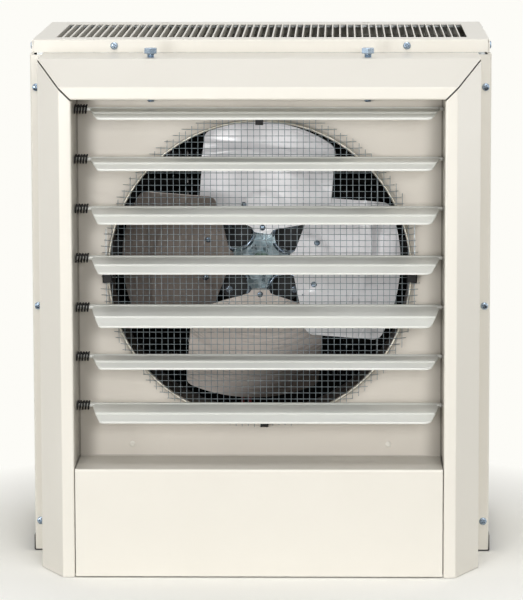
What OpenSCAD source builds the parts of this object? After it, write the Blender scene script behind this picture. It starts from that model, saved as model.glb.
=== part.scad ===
// Ceiling mounted fan heater: sheet steel cabinet, louvred discharge hood, axial fan and element bank.
// Millimetres. +Z is up, the louvred front faces -Y, the origin is under the middle of the part.

/* [Cabinet] */
// Width over the side panels
cabinet_w = 480; // [460:1:540]
// Height from the base to the top of the lid
cabinet_h = 542; // [535:1:600]
// Depth of the cabinet behind the hood
cabinet_d = 260; // [250:1:320]
// Thickness of the folded steel sheet
sheet = 1.2; // [0.8:0.1:1.5]
// Width of the side panels' front flanges
front_flange = 20; // [18:0.5:22]
// Width of the side panels' rear flanges
rear_flange = 18; // [14:0.5:22]
// Height of the lips along the base's sides
base_lip = 16; // [12:0.5:22]
// Length of a slot in the intake grille
intake_slot = 66; // [50:1:72]
// Distance between two rows of intake slots
intake_pitch = 15; // [13:0.5:20]

/* [Lid] */
// Height of the lid's lips
lip_h = 13.7; // [12:0.1:16]
// Distance from the lid's side lips in to the faces of the side panels
lid_inset = 2; // [1.5:0.1:3]
// Distance between two slots
slot_pitch = 7.85; // [7.5:0.05:8.1]
// Width of a slot
slot_w = 6.6; // [5.8:0.1:6.8]
// Distance from the lid's front to its slots
slot_margin = 28.8; // [24:0.2:34]
// Distance from the slots to the lid's back, with the hanging rail under it
slot_rear = 36.6; // [32:0.2:60]
// Depth of the flaps folded down beside the slots
flap_h = 7; // [5:0.5:9]

/* [Hood] */
// Width of the hood
hood_w = 452; // [446:1:456]
// Depth of the hood in front of the cabinet
hood_d = 130; // [126:1:145]
// Depth of the slanted band round the front
bevel_d = 50; // [44:1:54]
// Distance that the slanted band comes in
bevel_in = 25; // [22:0.5:27]
// Width of the flat strip round the opening
strip_w = 12.5; // [11:0.5:14]
// Height of the opening, from the sill over the control space up
open_h = 378; // [372:0.5:382]
// Depth of the walls inside the opening
chamber_d = 74; // [73:0.5:78]
// Gap between the lower front panel and the strips beside it
panel_gap = 0.8; // [0.5:0.1:1.2]
// Gap along the mitred corners
mitre_gap = 0.7; // [0.4:0.1:1.2]
// Distance of the fan panel's rivets from the middle
rivet_x = 133; // [120:1:150]
// Height of the fan panel's rivets over the sill
rivet_up = 12.5; // [8:0.5:16]

/* [Louvers] */
// Distance between two pivots
louver_pitch = 51; // [50:0.2:52]
// Distance from the opening's top to the first pivot
louver_drop = 13.3; // [12:0.1:15]
// Distance from the hood's front back to the pivots
pivot_y = 45; // [44:0.5:47]
// Length of a blade from its back edge to its crease
blade_back = 30; // [26:0.5:31]
// Length of a blade from its crease to its front edge
blade_front = 18; // [14:0.5:18.5]
// Bend at the crease, in degrees
crease = 8.5; // [4:0.5:14]
// Thickness of a louver blade
louver_t = 1.2; // [0.8:0.1:1.5]
// Distance from a blade's back edge to its pivot
pivot_in = 5; // [4:0.5:6]
// Distance that a blade's ends slant in towards its front edge
end_slant = 12.7; // [6:0.1:14]
// Diameter of the pivot tabs
tab_d = 3.8; // [3:0.1:4.2]
// Room between a louver's right end and the wall
end_room = 1.2; // [0.8:0.1:2]

/* [Louver springs] */
// Length of a spring between the wall and the louver
spring_len = 13.7; // [12:0.1:18]
// Outer diameter of a spring
spring_d = 9.2; // [8.6:0.1:10]
// Diameter of the spring wire
spring_wire = 1.6; // [1.2:0.1:1.6]
// Curls of a spring
spring_turns = 4; // [3:1:4]

/* [Fan] */
// Distance from the opening's top down to the fan's axis
fan_drop = 183; // [180:0.5:187]
// Inner diameter of the venturi ring
ring_d = 309; // [306:0.5:316]
// Distance that the ring stands out in front of the fan panel
ring_proud = 12; // [9:0.5:13]
// Length of the ring behind the panel
ring_back = 52; // [50:0.5:56]
// Diameter of the fan over its blade tips
fan_d = 293; // [284:1:298]
// Pitch of the fan blades, in degrees
blade_pitch = 20; // [16:0.5:22]
// Radius that the blades are curved to
blade_camber = 230; // [200:5:300]
// Thickness of the aluminium blades
blade_t = 1.4; // [1:0.1:2]
// Thickness of the spider
spider_t = 2; // [1.5:0.1:2.5]
// Distance of the spider behind the fan panel
spider_back = 74; // [70:0.5:76]
// Turn of the fan at rest, in degrees clockwise seen from the front
fan_turn = 4.3; // [0:0.1:90]
// Spacing of the wires in the guard, drawn coarser than the quarter inch of the real net
guard_pitch = 18.6; // [18:0.1:22]
// Thickness of the guard's wires
guard_wire = 1.2; // [1:0.1:1.5]

/* [Motor] */
// Diameter of the motor
motor_d = 92; // [84:1:96]
// Length of the motor's shell
motor_len = 54; // [46:1:60]
// Diameter of the motor's shaft
shaft_d = 12; // [10:0.5:12.5]
// Radial clearance of the shaft in its bearings
shaft_fit = 0.05; // [0.02:0.01:0.09]
// Distance from the front frame back to the motor's bracket
bracket_stand = 45.6; // [44.6:0.2:50]

/* [Heating elements] */
// Distance between the two runs of an element
run_gap = 56; // [50:1:60]
// Distance between two elements
element_pitch = 112; // [110:1:118]
// Diameter of an element's sheath
sheath_d = 11; // [8:0.5:12]
// Diameter of the fins on an element
fin_d = 26; // [20:0.5:30]
// Distance of the elements in front of the back panel
element_y = 62; // [50:1:66]

/* [Control space] */
// Distance from the left wall to the middle of the terminal block and of the cable inlet
terminal_in = 88.8; // [70:0.2:100]
// Height of the cable inlet's middle
inlet_z = 58; // [40:1:70]
// Distance from the left wall to the ground lug
lug_in = 33.8; // [20:0.2:36]
// Distance from the right wall to the fan delay relay
relay_in = 108.8; // [60:0.2:120]
// Width of the fan delay relay's case
relay_w = 34; // [26:1:36]
// Height of the fan delay relay over the base
relay_h = 38; // [30:1:44]
// Width of the terminal block
terminal_w = 90; // [80:1:96]
// Height of the terminal block
terminal_h = 24; // [20:1:34]
// Length of the run capacitor
capacitor_l = 72; // [60:1:90]
// Diameter of the run capacitor
capacitor_d = 38; // [30:1:40]
// Distance from the back panel to the middle of the rear row
rear_row = 70; // [60:1:76]

/* [Fixings] */
// Diameter of the hanging bolts' thread
bolt_d = 8; // [6:0.5:8]
// Length of a hanging bolt under its head
bolt_len = 50; // [44:0.5:54]
// Thread that shows between a hanging bolt's head and the hood
bolt_stand = 4.5; // [2:0.5:6]
// Distance between the two hanging bolts, and between the two rear hanging holes
bolt_span = 222; // [200:1:240]
// Distance from the hood's front back to the hanging bolts
bolt_y = 67; // [66.5:0.1:67.5]
// Diameter of the rear hanging holes
hanger_hole = 9; // [8.5:0.1:10]
// Diameter of the cable inlet
inlet_d = 22.2; // [18:0.1:24]
// Diameter of the sheet metal screws' heads
screw_head = 7; // [5.5:0.1:7.5]
// Diameter of the sheet metal screws' shanks
screw_d = 3.4; // [2.6:0.1:3.8]
// Radial clearance of the screws in their holes
screw_fit = 0.1; // [0.05:0.01:0.2]

/* [Hidden] */
$fn = 64;

painted = [0.9, 0.89, 0.86];
zinc = [0.7, 0.72, 0.74];
galvanised = [0.66, 0.68, 0.68];
black = [0.1, 0.1, 0.1];
aluminium = [0.8, 0.8, 0.81];

// Distances are measured back from the hood's front and up from the base.
head_h = screw_head * 0.3;
front_y = -(hood_d + cabinet_d + head_h) / 2;
cab_y = hood_d;
back_y = hood_d + cabinet_d;
side_x = cabinet_w / 2;
hood_x = hood_w / 2;
strip_x = hood_x - bevel_in;
open_x = strip_x - strip_w;
hood_top_z = cabinet_h - lip_h - 0.3;
strip_top_z = hood_top_z - bevel_in;
open_top_z = strip_top_z - strip_w;
divider_z = open_top_z - open_h;
fan_z = open_top_z - fan_drop;
frame_y = cab_y + sheet;
inside_y = frame_y + sheet;
step_z = hood_top_z - 0.7;
lid_x = side_x - lid_inset;
upstand_x = lid_x - sheet;
lid_under_z = cabinet_h - sheet;
upstand_z = lid_under_z - 2.8;
lid_front_y = cab_y - sheet;
lid_back_y = back_y + sheet;
wall_x = side_x - sheet;
hole_d = screw_d + 2 * screw_fit;
screw_reach = 2 * sheet + 3;
terminal_x = -wall_x + terminal_in;

intake_h = 7;
slot_n = 2 * floor((lid_x - 20) / slot_pitch) + 1;
slot_x0 = -slot_pitch * (slot_n - 1) / 2;
slot_y0 = lid_front_y + slot_margin;
slot_len = lid_back_y - slot_rear - slot_y0;
hanger_y = lid_back_y - slot_rear / 2;
rail_w = 24;
rail_t = 3;

front_screws = [32, cabinet_h / 2 - 9, cabinet_h - 50];
front_screw_x = side_x - 6;
lid_screw_z = cabinet_h - lip_h / 2;
lid_screw_x = 152;
lid_side_y = [cab_y + 12, back_y - 30];
back_screws = [[-wall_x + 10, 40], [wall_x - 10, 40], [-wall_x + 10, cabinet_h / 2],
    [wall_x - 10, cabinet_h / 2], [-wall_x + 10, cabinet_h - 44], [wall_x - 10, cabinet_h - 44]];

panel_y = chamber_d;
ring_r = ring_d / 2;
ring_front_y = panel_y - ring_proud;
bead_r = 1.3;
guard_r = ring_r + 6;
guard_y = ring_front_y - guard_wire;
fan_y = panel_y + spider_back;

tilt = [5, 6, 11, 11, 16.5, 5, 11.5];
left_end = -open_x + spring_len;
right_end = open_x - end_room;
tab_reach = open_x + sheet + 0.8;

bracket_y = inside_y + bracket_stand;
bracket_t = 3;
motor_r = motor_d / 2;
bell_t = 8;
bell_y = bracket_y + bracket_t;
shell_y = bell_y + bell_t;
shell_back_y = shell_y + motor_len;
bolt_circle = motor_r + 3;
lug_r = 5;
plate_r = bolt_circle + lug_r + 2;
shaft_r = shaft_d / 2;
boss_hole_r = motor_r * 0.46;
bearing_r = shaft_r + 5;
core_in_r = motor_r * 0.56;
core_y = shell_y + motor_len * 0.17;
core_len = motor_len * 0.66;
foot_x = open_x + 14;
strap_w = 40;

element_z = [for (i = [-1:1]) fan_z + i * element_pitch];
bank_y = back_y - element_y;
bank_x = 168;
sheath_r = sheath_d / 2;

// Corner rounding: n points on an arc of radius r at b, between the directions to a and c.
function unit(v) = v / norm(v);
function corner(a, b, c, r, n = 6) =
    let (u = unit(a - b), w = unit(c - b), half = acos(u * w) / 2, d = r / tan(half),
        m = b + unit(u + w) * r / sin(half), p = b + u * d - m, q = b + w * d - m)
    [for (i = [0:n]) m + unit(p * (1 - i / n) + q * i / n) * r];
function rounded(pts, radii) = [for (i = [0:len(pts) - 1])
    each radii[i] == 0 ? [pts[i]]
        : corner(pts[(i + len(pts) - 1) % len(pts)], pts[i], pts[(i + 1) % len(pts)], radii[i])];

// Moves what is drawn from the hood's front plane to the part's own frame.
module place() translate([0, front_y, 0]) children();

module block(lo, hi) translate(lo) cube(hi - lo);

module both() {
    children();
    mirror([1, 0, 0]) children();
}

module rod_x(r, x0, x1, y, z) translate([x0, y, z]) rotate([0, 90, 0]) cylinder(r = r, h = x1 - x0);
module rod_y(r, y0, y1, x, z) translate([x, y0, z]) rotate([-90, 0, 0]) cylinder(r = r, h = y1 - y0);
module rod_z(r, z0, z1, x, y) translate([x, y, z0]) cylinder(r = r, h = z1 - z0);

// A pan head screw at the origin: the head lies under z = 0 and the shank points up.
module pan_screw(reach) {
    rotate_extrude() polygon([[0, -head_h], [screw_head * 0.28, -head_h], [screw_head * 0.44, -head_h * 0.7],
        [screw_head / 2, -head_h * 0.25], [screw_head / 2, 0], [screw_d / 2, 0],
        [screw_d / 2, reach - 0.8], [0, reach]]);
}

// ---------------------------------------------------------------- cabinet

module side_sheet() {
    difference() {
        union() {
            block([wall_x, cab_y, sheet], [side_x, back_y, step_z]);
            block([side_x - front_flange, cab_y, sheet], [side_x, frame_y, step_z]);
            block([side_x - rear_flange, back_y - 2 * sheet, sheet], [side_x, back_y - sheet, step_z]);
            block([upstand_x - sheet, cab_y, step_z - sheet], [side_x, back_y - sheet, step_z]);
            block([upstand_x - sheet, frame_y, step_z - sheet], [upstand_x, back_y - sheet, upstand_z]);
        }
        for (z = front_screws) rod_y(hole_d / 2, cab_y - 1, inside_y, front_screw_x, z);
        for (y = lid_side_y) rod_x(hole_d / 2, upstand_x - 3, lid_x, y, lid_screw_z);
        for (p = back_screws) if (p[0] > 0) rod_y(hole_d / 2, back_y - 5, back_y, p[0], p[1]);
    }
}

module side_panel_right() color(painted) place() side_sheet();
module side_panel_left() color(painted) place() mirror([1, 0, 0]) side_sheet();

module base_panel() color(painted) place() {
    block([-side_x - sheet, cab_y, 0], [side_x + sheet, back_y, sheet]);
    both() block([side_x, frame_y, 0], [side_x + sheet, back_y, base_lip]);
}

module back_panel() color(painted) place() {
    difference() {
        union() {
            block([-wall_x, back_y - sheet, sheet], [wall_x, back_y, step_z]);
            block([-upstand_x + 2, back_y - 14, step_z], [upstand_x - 2, back_y, step_z + sheet]);
            block([-wall_x + rear_flange, back_y - 16, sheet], [wall_x - rear_flange, back_y, 2 * sheet]);
        }
        for (z = [divider_z + 40:intake_pitch:cabinet_h - 60])
            for (i = [-2:1])
                translate([i * (intake_slot + 14) + 7, back_y - 2 * sheet, z])
                    cube([intake_slot, 3 * sheet, intake_h]);
        for (p = back_screws) rod_y(hole_d / 2, back_y - 3, back_y + 1, p[0], p[1]);
        rod_y(inlet_d / 2, back_y - 3, back_y + 1, terminal_x, inlet_z);
    }
    // Each slot's flap is folded in and down from its upper edge, so that no light comes through.
    for (z = [divider_z + 40:intake_pitch:cabinet_h - 60])
        for (i = [-2:1])
            translate([i * (intake_slot + 14) + 7, back_y - sheet, z]) rotate([90, 0, 90])
                linear_extrude(intake_slot) polygon([[0.4, intake_h], [0.4, intake_h + 1.6],
                    [0, intake_h + 1.6], [-intake_h - 0.5, 1.1], [-intake_h - 0.5, -0.6]]);
}

module front_frame() color(painted) place() {
    difference() {
        union() {
            block([-wall_x, frame_y, sheet], [wall_x, inside_y, step_z - sheet]);
            block([-upstand_x + 4, cab_y, step_z], [upstand_x - 4, frame_y, upstand_z]);
            block([-upstand_x + 4, frame_y, step_z - 2 * sheet], [upstand_x - 4, inside_y, step_z + sheet]);
        }
        block([-open_x, frame_y - 1, divider_z], [open_x, inside_y + 1, open_top_z]);
        both() {
            for (z = front_screws) rod_y(hole_d / 2, frame_y - 1, inside_y + 1, front_screw_x, z);
            rod_y(hole_d / 2, cab_y - 1, inside_y + 1, lid_screw_x, lid_screw_z);
            for (s = [-1, 1]) rod_y(hole_d / 2, frame_y - 1, inside_y + 1, foot_x, fan_z + s * strap_w / 3);
        }
    }
}

module lid() color(painted) place() {
    difference() {
        block([-lid_x, lid_front_y, lid_under_z], [lid_x, lid_back_y, cabinet_h]);
        for (i = [0:slot_n - 1])
            translate([slot_x0 + i * slot_pitch - slot_w / 2, slot_y0, lid_under_z - 1])
                cube([slot_w, slot_len, sheet + 2]);
        for (s = [-1, 1]) rod_z(hanger_hole / 2, lid_under_z - 1, cabinet_h + 1, s * bolt_span / 2, hanger_y);
    }
    for (i = [0:slot_n - 1])
        translate([slot_x0 + i * slot_pitch - slot_w / 2 - 1, slot_y0 + 1, lid_under_z - flap_h])
            cube([1, slot_len - 2, flap_h + sheet / 2]);
    difference() {
        union() {
            block([-lid_x, lid_front_y, cabinet_h - lip_h], [lid_x, cab_y, lid_under_z]);
            block([-lid_x, back_y, cabinet_h - lip_h], [lid_x, lid_back_y, lid_under_z]);
            both() block([upstand_x, cab_y, cabinet_h - lip_h], [lid_x, back_y, lid_under_z]);
        }
        both() {
            rod_y(hole_d / 2, lid_front_y - 1, cab_y + 1, lid_screw_x, lid_screw_z);
            for (y = lid_side_y) rod_x(hole_d / 2, upstand_x - 1, lid_x + 1, y, lid_screw_z);
        }
    }
}

module hanger_rail() color(galvanised) place() {
    difference() {
        block([-upstand_x + sheet + 0.2, hanger_y - rail_w / 2, lid_under_z - rail_t],
            [upstand_x - sheet - 0.2, hanger_y + rail_w / 2, lid_under_z]);
        for (s = [-1, 1]) rod_z(hanger_hole / 2, 0, cabinet_h, s * bolt_span / 2, hanger_y);
    }
}

module control_divider() color(galvanised) place() {
    difference() {
        block([-wall_x, inside_y, divider_z - sheet], [wall_x, back_y - 2 * sheet, divider_z]);
        for (x = [-22, -14]) rod_z(3.2, divider_z - 3, divider_z + 1, x, shell_y + motor_len / 2);
    }
}

// ---------------------------------------------------------------- hood

// The bent section of the hood's wall: wall, slanted band, strip and the wall inside the opening.
// u is the distance from the outer face in, v the distance from the front back.
function band(a) =
    let (k = atan(bevel_in / bevel_d), e = sheet * tan(k / 2), f = sheet * tan((90 - k) / 2))
    a == 0 ? [[0, hood_d], [0, bevel_d], [bevel_in, 0], [bevel_in + strip_w, 0], [bevel_in + strip_w, chamber_d]]
        : [[bevel_in + strip_w - sheet, chamber_d], [bevel_in + strip_w - sheet, sheet],
            [bevel_in + f, sheet], [sheet, bevel_d + e], [sheet, hood_d]];
hood_section = concat(band(0), band(1));

module hood_side() {
    difference() {
        linear_extrude(hood_top_z) polygon([for (p = hood_section) [hood_x - p[0], p[1]]]);
        translate([0, hood_d + 1, 0]) rotate([90, 0, 0]) linear_extrude(hood_d + 2)
            polygon([[hood_x + 20, hood_top_z + 20 - mitre_gap], [hood_x - 60, hood_top_z - 60 - mitre_gap],
                [hood_x - 60, hood_top_z + 90], [hood_x + 20, hood_top_z + 90]]);
        for (t = [0:len(tilt) - 1])
            rod_x(tab_d / 2 + 0.08, open_x - 1, open_x + sheet + 1, pivot_y, louver_z(t));
    }
}

function louver_z(i) = open_top_z - louver_drop - i * louver_pitch;

module hood_side_right() color(painted) place() hood_side();
module hood_side_left() color(painted) place() mirror([1, 0, 0]) hood_side();

module hood_top() color(painted) place() {
    difference() {
        rotate([90, 0, 90]) translate([0, 0, -hood_x]) linear_extrude(hood_w)
            polygon([for (p = hood_section) [p[1], hood_top_z - p[0]]]);
        both() translate([0, hood_d + 1, 0]) rotate([90, 0, 0]) linear_extrude(hood_d + 2)
            polygon([[hood_x + 20, hood_top_z + 20], [hood_x - 60, hood_top_z - 60],
                [hood_x - 60, hood_top_z - 90], [hood_x + 20, hood_top_z - 90]]);
        both() translate([hood_x, hood_d, hood_top_z - 5]) rotate([0, 0, 45]) cube([3, 8, 10], center = true);
        for (s = [-1, 1]) rod_z(bolt_d / 2 + 0.15, open_top_z - 1, hood_top_z + 1, s * bolt_span / 2, bolt_y);
    }
}

module front_panel() color(painted) place() {
    x = open_x - panel_gap;
    block([-x, 0, 1], [x, sheet, divider_z]);
    block([-x, 0, divider_z - sheet], [x, chamber_d, divider_z]);
    both() block([x - sheet, 0, 3 + 2 * sheet], [x, 15, divider_z]);
}

module hood_floor() color(painted) place() {
    block([-open_x, sheet, 2], [open_x, chamber_d, 2 + sheet]);
    block([-hood_x + sheet, chamber_d, 2], [hood_x - sheet, hood_d, 2 + sheet]);
    block([-hood_x + sheet, hood_d - sheet, 2], [hood_x - sheet, hood_d, 14]);
}

module fan_panel() color(painted) place() {
    x = open_x + sheet;
    difference() {
        union() {
            block([-x, panel_y, divider_z - sheet], [x, panel_y + sheet, open_top_z + sheet]);
            both() block([open_x, panel_y, divider_z - sheet], [x, frame_y, open_top_z + sheet]);
            block([-x, panel_y, divider_z - sheet], [x, frame_y, divider_z]);
            block([-x, panel_y, open_top_z], [x, frame_y, open_top_z + sheet]);
        }
        rod_y(ring_r + 1.1, panel_y - 1, panel_y + sheet + 1, 0, fan_z);
        both() rod_y(1.7, panel_y - 1, panel_y + 3, rivet_x, divider_z + rivet_up);
    }
}

module panel_rivets() color(painted) place() both() {
    rod_y(3.2, panel_y - 1, panel_y, rivet_x, divider_z + rivet_up);
    rod_y(1.6, panel_y - 1, panel_y + 3.5, rivet_x, divider_z + rivet_up);
}

module venturi_ring() color(galvanised) place() {
    translate([0, ring_front_y, fan_z]) rotate([-90, 0, 0]) rotate_extrude($fn = 128) {
        translate([ring_r, bead_r]) square([1, ring_proud + ring_back - bead_r]);
        translate([ring_r + bead_r, bead_r]) circle(r = bead_r, $fn = 32);
        translate([ring_r, ring_proud + sheet]) square([9, 1]);
    }
}

// ---------------------------------------------------------------- guard and springs

module wire_guard() color(zinc) place() translate([0, guard_y, fan_z]) rotate([-90, 0, 0]) {
    n = floor(guard_r / guard_pitch);
    gap = guard_pitch - guard_wire;
    linear_extrude(guard_wire) difference() {
        circle(r = guard_r, $fn = 128);
        intersection() {
            circle(r = guard_r - guard_wire, $fn = 128);
            for (i = [-n - 1:n], j = [-n - 1:n])
                translate([i * guard_pitch + guard_wire / 2, j * guard_pitch + guard_wire / 2]) square(gap);
        }
    }
    difference() {
        cylinder(r = guard_r, h = 8, $fn = 128);
        translate([0, 0, -1]) cylinder(r = guard_r - guard_wire, h = 10, $fn = 128);
    }
}

module guard_clips() color(black) place() translate([0, 0, fan_z]) for (a = [0:90:270]) rotate([0, a, 0]) {
    block([-4, guard_y - 1, ring_r - 1], [4, guard_y, guard_r + 1.4]);
    block([-4, guard_y - 1, guard_r], [4, panel_y, guard_r + 1.4]);
}

// A coil spring along +X: each ring of six points stands square on the wire.
coil_r = (spring_d - spring_wire) / 2;
coil_rings = 8 * spring_turns;
coil_rise = (spring_len - spring_wire - 0.6) / coil_rings;
function coil_point(k) = let (a = 360 * k / 8)
    [0.3 + spring_wire / 2 + coil_rise * k, coil_r * cos(a), coil_r * sin(a)];
function coil_ring(k) =
    let (a = 360 * k / 8, out = [0, cos(a), sin(a)],
        along = unit([coil_rise * 4 / PI, -coil_r * sin(a), coil_r * cos(a)]), side = cross(along, out))
    [for (j = [0:5]) coil_point(k) + (out * cos(60 * j) + side * sin(60 * j)) * spring_wire / 2];
coil_gap = min([for (k = [0:coil_rings - 6]) for (m = [k + 6:coil_rings])
    norm(coil_point(k) - coil_point(m))]) - spring_wire;
echo(coil_gap = coil_gap);

module coil() {
    n = coil_rings;
    polyhedron(
        points = [for (k = [0:n]) each coil_ring(k)],
        faces = concat(
            [for (k = [0:n - 1], j = [0:5]) each
                let (a = 6 * k + j, b = 6 * k + (j + 1) % 6) [[a, b, b + 6], [a, b + 6, a + 6]]],
            [for (j = [1:4]) [0, j + 1, j]],
            [for (j = [1:4]) [6 * n, 6 * n + j, 6 * n + j + 1]]));
}

module louver_springs() color(black) place()
    for (i = [0:len(tilt) - 1]) translate([-open_x, pivot_y, louver_z(i)]) coil();

// ---------------------------------------------------------------- louvers

blade_section = [[pivot_in, louver_t / 2], [pivot_in - blade_back, louver_t / 2],
    [pivot_in - blade_back - blade_front * cos(crease), louver_t / 2 - blade_front * sin(crease)],
    [pivot_in - blade_back - blade_front * cos(crease), -louver_t / 2 - blade_front * sin(crease)],
    [pivot_in - blade_back, -louver_t / 2], [pivot_in, -louver_t / 2]];
blade_reach = pivot_in - blade_back - blade_front;

module louver(i) color(painted) place() translate([0, pivot_y, louver_z(i)]) rotate([tilt[i], 0, 0]) {
    intersection() {
        rotate([90, 0, 90]) translate([0, 0, left_end]) linear_extrude(right_end - left_end)
            polygon(blade_section);
        translate([0, 0, -20]) linear_extrude(40) polygon(rounded(
            [[left_end + 2, pivot_in + 1], [left_end, 1.5], [left_end, -1.5],
                [left_end + end_slant, blade_reach - 0.5], [right_end - end_slant, blade_reach - 0.5],
                [right_end, -1.5], [right_end, 1.5], [right_end - 2, pivot_in + 1]],
            [0, 0, 0, 3, 5, 0, 0, 0]));
    }
    rod_x(tab_d / 2, -tab_reach, left_end + 5, 0, 0);
    rod_x(tab_d / 2, right_end - 5, tab_reach, 0, 0);
}

// ---------------------------------------------------------------- fixings

module cabinet_screws() color(zinc) place() both() for (z = front_screws)
    translate([front_screw_x, cab_y, z]) rotate([-90, 0, 0]) pan_screw(screw_reach);

module lid_screws() color(zinc) place() both() {
    translate([lid_screw_x, lid_front_y, lid_screw_z]) rotate([-90, 0, 0]) pan_screw(screw_reach);
    for (y = lid_side_y) translate([lid_x, y, lid_screw_z]) rotate([0, -90, 0]) pan_screw(screw_reach);
}

module back_screws() color(zinc) place() for (p = back_screws)
    translate([p[0], back_y, p[1]]) rotate([90, 0, 0]) pan_screw(screw_reach);

module hanging_bolts() color(zinc) place() for (s = [-1, 1]) translate([s * bolt_span / 2, bolt_y, 0]) {
    z = hood_top_z + bolt_stand;
    translate([0, 0, z - bolt_len]) cylinder(d = bolt_d, h = bolt_len + 1);
    intersection() {
        translate([0, 0, z]) cylinder(d = bolt_d * 1.8, h = bolt_d * 0.66, $fn = 6);
        translate([0, 0, z]) cylinder(r1 = bolt_d * 1.4, r2 = bolt_d * 0.78, h = bolt_d * 0.66);
    }
}

module hanging_nuts() color(zinc) place() for (s = [-1, 1]) translate([s * bolt_span / 2, bolt_y, 0])
    difference() {
        translate([0, 0, hood_top_z - sheet - 6]) cylinder(d = bolt_d * 1.8, h = 6, $fn = 6);
        cylinder(d = bolt_d, h = cabinet_h);
    }

module bracket_screws() color(zinc) place() both() for (s = [-1, 1])
    translate([foot_x, inside_y + bracket_t, fan_z + s * strap_w / 3]) rotate([90, 0, 0])
        pan_screw(bracket_t + 2 * sheet - 0.4);

// ---------------------------------------------------------------- motor

module motor_bracket() color(galvanised) place() translate([0, 0, fan_z]) {
    difference() {
        union() {
            block([-foot_x + 8, bracket_y, -strap_w / 2], [foot_x - 8, bracket_y + bracket_t, strap_w / 2]);
            rod_y(plate_r, bracket_y, bracket_y + bracket_t, 0, 0);
            both() block([foot_x - 8, inside_y, -strap_w / 2],
                [foot_x - 8 + bracket_t, bracket_y + bracket_t, strap_w / 2]);
            both() block([foot_x - 8, inside_y, -strap_w / 2],
                [foot_x + 8, inside_y + bracket_t, strap_w / 2]);
        }
        rod_y(boss_hole_r, bracket_y - 1, bracket_y + bracket_t + 1, 0, 0);
        bolt_ring() rod_y(2.2, bracket_y - 1, bracket_y + bracket_t + 1, 0, 0);
        both() for (s = [-1, 1]) rod_y(hole_d / 2, inside_y - 1, inside_y + bracket_t + 1, foot_x, s * strap_w / 3);
    }
}

module bolt_ring() for (a = [45:90:315]) rotate([0, a, 0]) translate([bolt_circle, 0, 0]) children();

// One end of the motor: a disc with a boss, four lugs and the bearing's seat.
module bell(boss) difference() {
    union() {
        rod_y(motor_r, 0, bell_t, 0, 0);
        if (boss) rod_y(boss_hole_r - 0.2, -bracket_t, bell_t, 0, 0);
        bolt_ring() rod_y(lug_r, 0, bell_t, 0, 0);
    }
    rod_y(shaft_r + 1, -bracket_t - 1, bell_t + 1, 0, 0);
    rod_y(bearing_r, 2, bell_t + 1, 0, 0);
    bolt_ring() rod_y(2.2, -1, bell_t + 1, 0, 0);
}

module motor_front_bell() color(aluminium) place() translate([0, bell_y, fan_z]) bell(true);
module motor_rear_bell() color(aluminium) place()
    translate([0, shell_back_y + bell_t, fan_z]) mirror([0, 1, 0]) bell(false);

module motor_shell() color(black) place() translate([0, 0, fan_z]) difference() {
    rod_y(motor_r, shell_y, shell_back_y, 0, 0);
    rod_y(motor_r - sheet, shell_y - 1, shell_back_y + 1, 0, 0);
}

module stator_core() color(galvanised) place() translate([0, 0, fan_z]) difference() {
    rod_y(motor_r - sheet, core_y, core_y + core_len, 0, 0);
    rod_y(core_in_r, core_y - 1, core_y + core_len + 1, 0, 0);
}

module stator_windings() color([0.72, 0.4, 0.2]) place() translate([0, 0, fan_z])
    for (y = [core_y - 5, core_y + core_len]) difference() {
        rod_y(motor_r - 5, y, y + 5, 0, 0);
        rod_y(core_in_r + 3, y - 1, y + 6, 0, 0);
    }

module motor_bearings() color(zinc) place() translate([0, 0, fan_z])
    for (y = [bell_y + 2, shell_back_y]) difference() {
        rod_y(bearing_r, y, y + bell_t - 2, 0, 0);
        rod_y(shaft_r + shaft_fit, y - 1, y + bell_t, 0, 0);
    }

module motor_bolts() color(zinc) place() translate([0, 0, fan_z]) bolt_ring() {
    rod_y(2.1, bracket_y - 4, shell_back_y + bell_t + 4, 0, 0);
    translate([0, bracket_y - 3, 0]) rotate([-90, 0, 0]) cylinder(r = 4, h = 3, $fn = 6);
    translate([0, shell_back_y + bell_t, 0]) rotate([-90, 0, 0]) cylinder(r = 4, h = 3, $fn = 6);
}

module motor_leads() color([0.6, 0.1, 0.08]) place() {
    y = shell_y + motor_len / 2;
    for (x = [-22, -14]) rod_z(1.8, divider_z - 40, fan_z - sqrt(motor_r * motor_r - x * x) - 0.4, x, y);
}

// ---------------------------------------------------------------- fan

module on_axis() place() translate([0, fan_y, fan_z]) rotate([0, fan_turn, 0]) children();

// Sets a piece square on the curved face of the blade that points to +X.
module on_blade(x, a) rotate([-blade_pitch, 0, 0]) translate([x, -blade_camber, 0]) rotate([a, 0, 0])
    translate([0, blade_camber, 0]) children();

module curved(pts, radii, r0, r1) rotate([-blade_pitch, 0, 0]) intersection() {
    translate([0, 40, 0]) rotate([90, 0, 0]) linear_extrude(100) polygon(rounded(pts, radii));
    translate([0, -blade_camber, 0]) difference() {
        rod_x(r1, 20, fan_d / 2 + 4, 0, 0, $fn = 256);
        rod_x(r0, 19, fan_d / 2 + 5, 0, 0, $fn = 256);
    }
}

module rivets() {
    for (p = [[57, 22.5], [57, -22.5], [35.5, 0]]) on_blade(p[0], asin(p[1] / blade_camber)) children();
}

// The tips lie on a circle seen from the front; v is measured across a blade before it is curved and pitched.
tip = fan_d / 2;
root_x = 29.5;
function tip_x(v) = sqrt(tip * tip - pow(v * cos(blade_pitch) + v * v * sin(blade_pitch) / 2 / blade_camber, 2));
blade_outline = concat([[34.5, -12], [53, -78], [tip_x(-78), -78]], [for (v = [-63:9:63]) [tip_x(v), v]],
    [[tip_x(70), 70], [51, 70], [34.5, 12], [root_x, 9], [root_x, -9]]);
blade_corners = concat([2, 9, 11], [for (v = [-63:9:63]) 0], [8, 9, 2, 3, 3]);

module fan_blades() color(aluminium) on_axis() for (a = [0:90:270]) rotate([0, a, 0]) difference() {
    curved(blade_outline, blade_corners, blade_camber - blade_t, blade_camber);
    rivets() rod_y(1.6, -5, 5, 0, 0);
}

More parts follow.
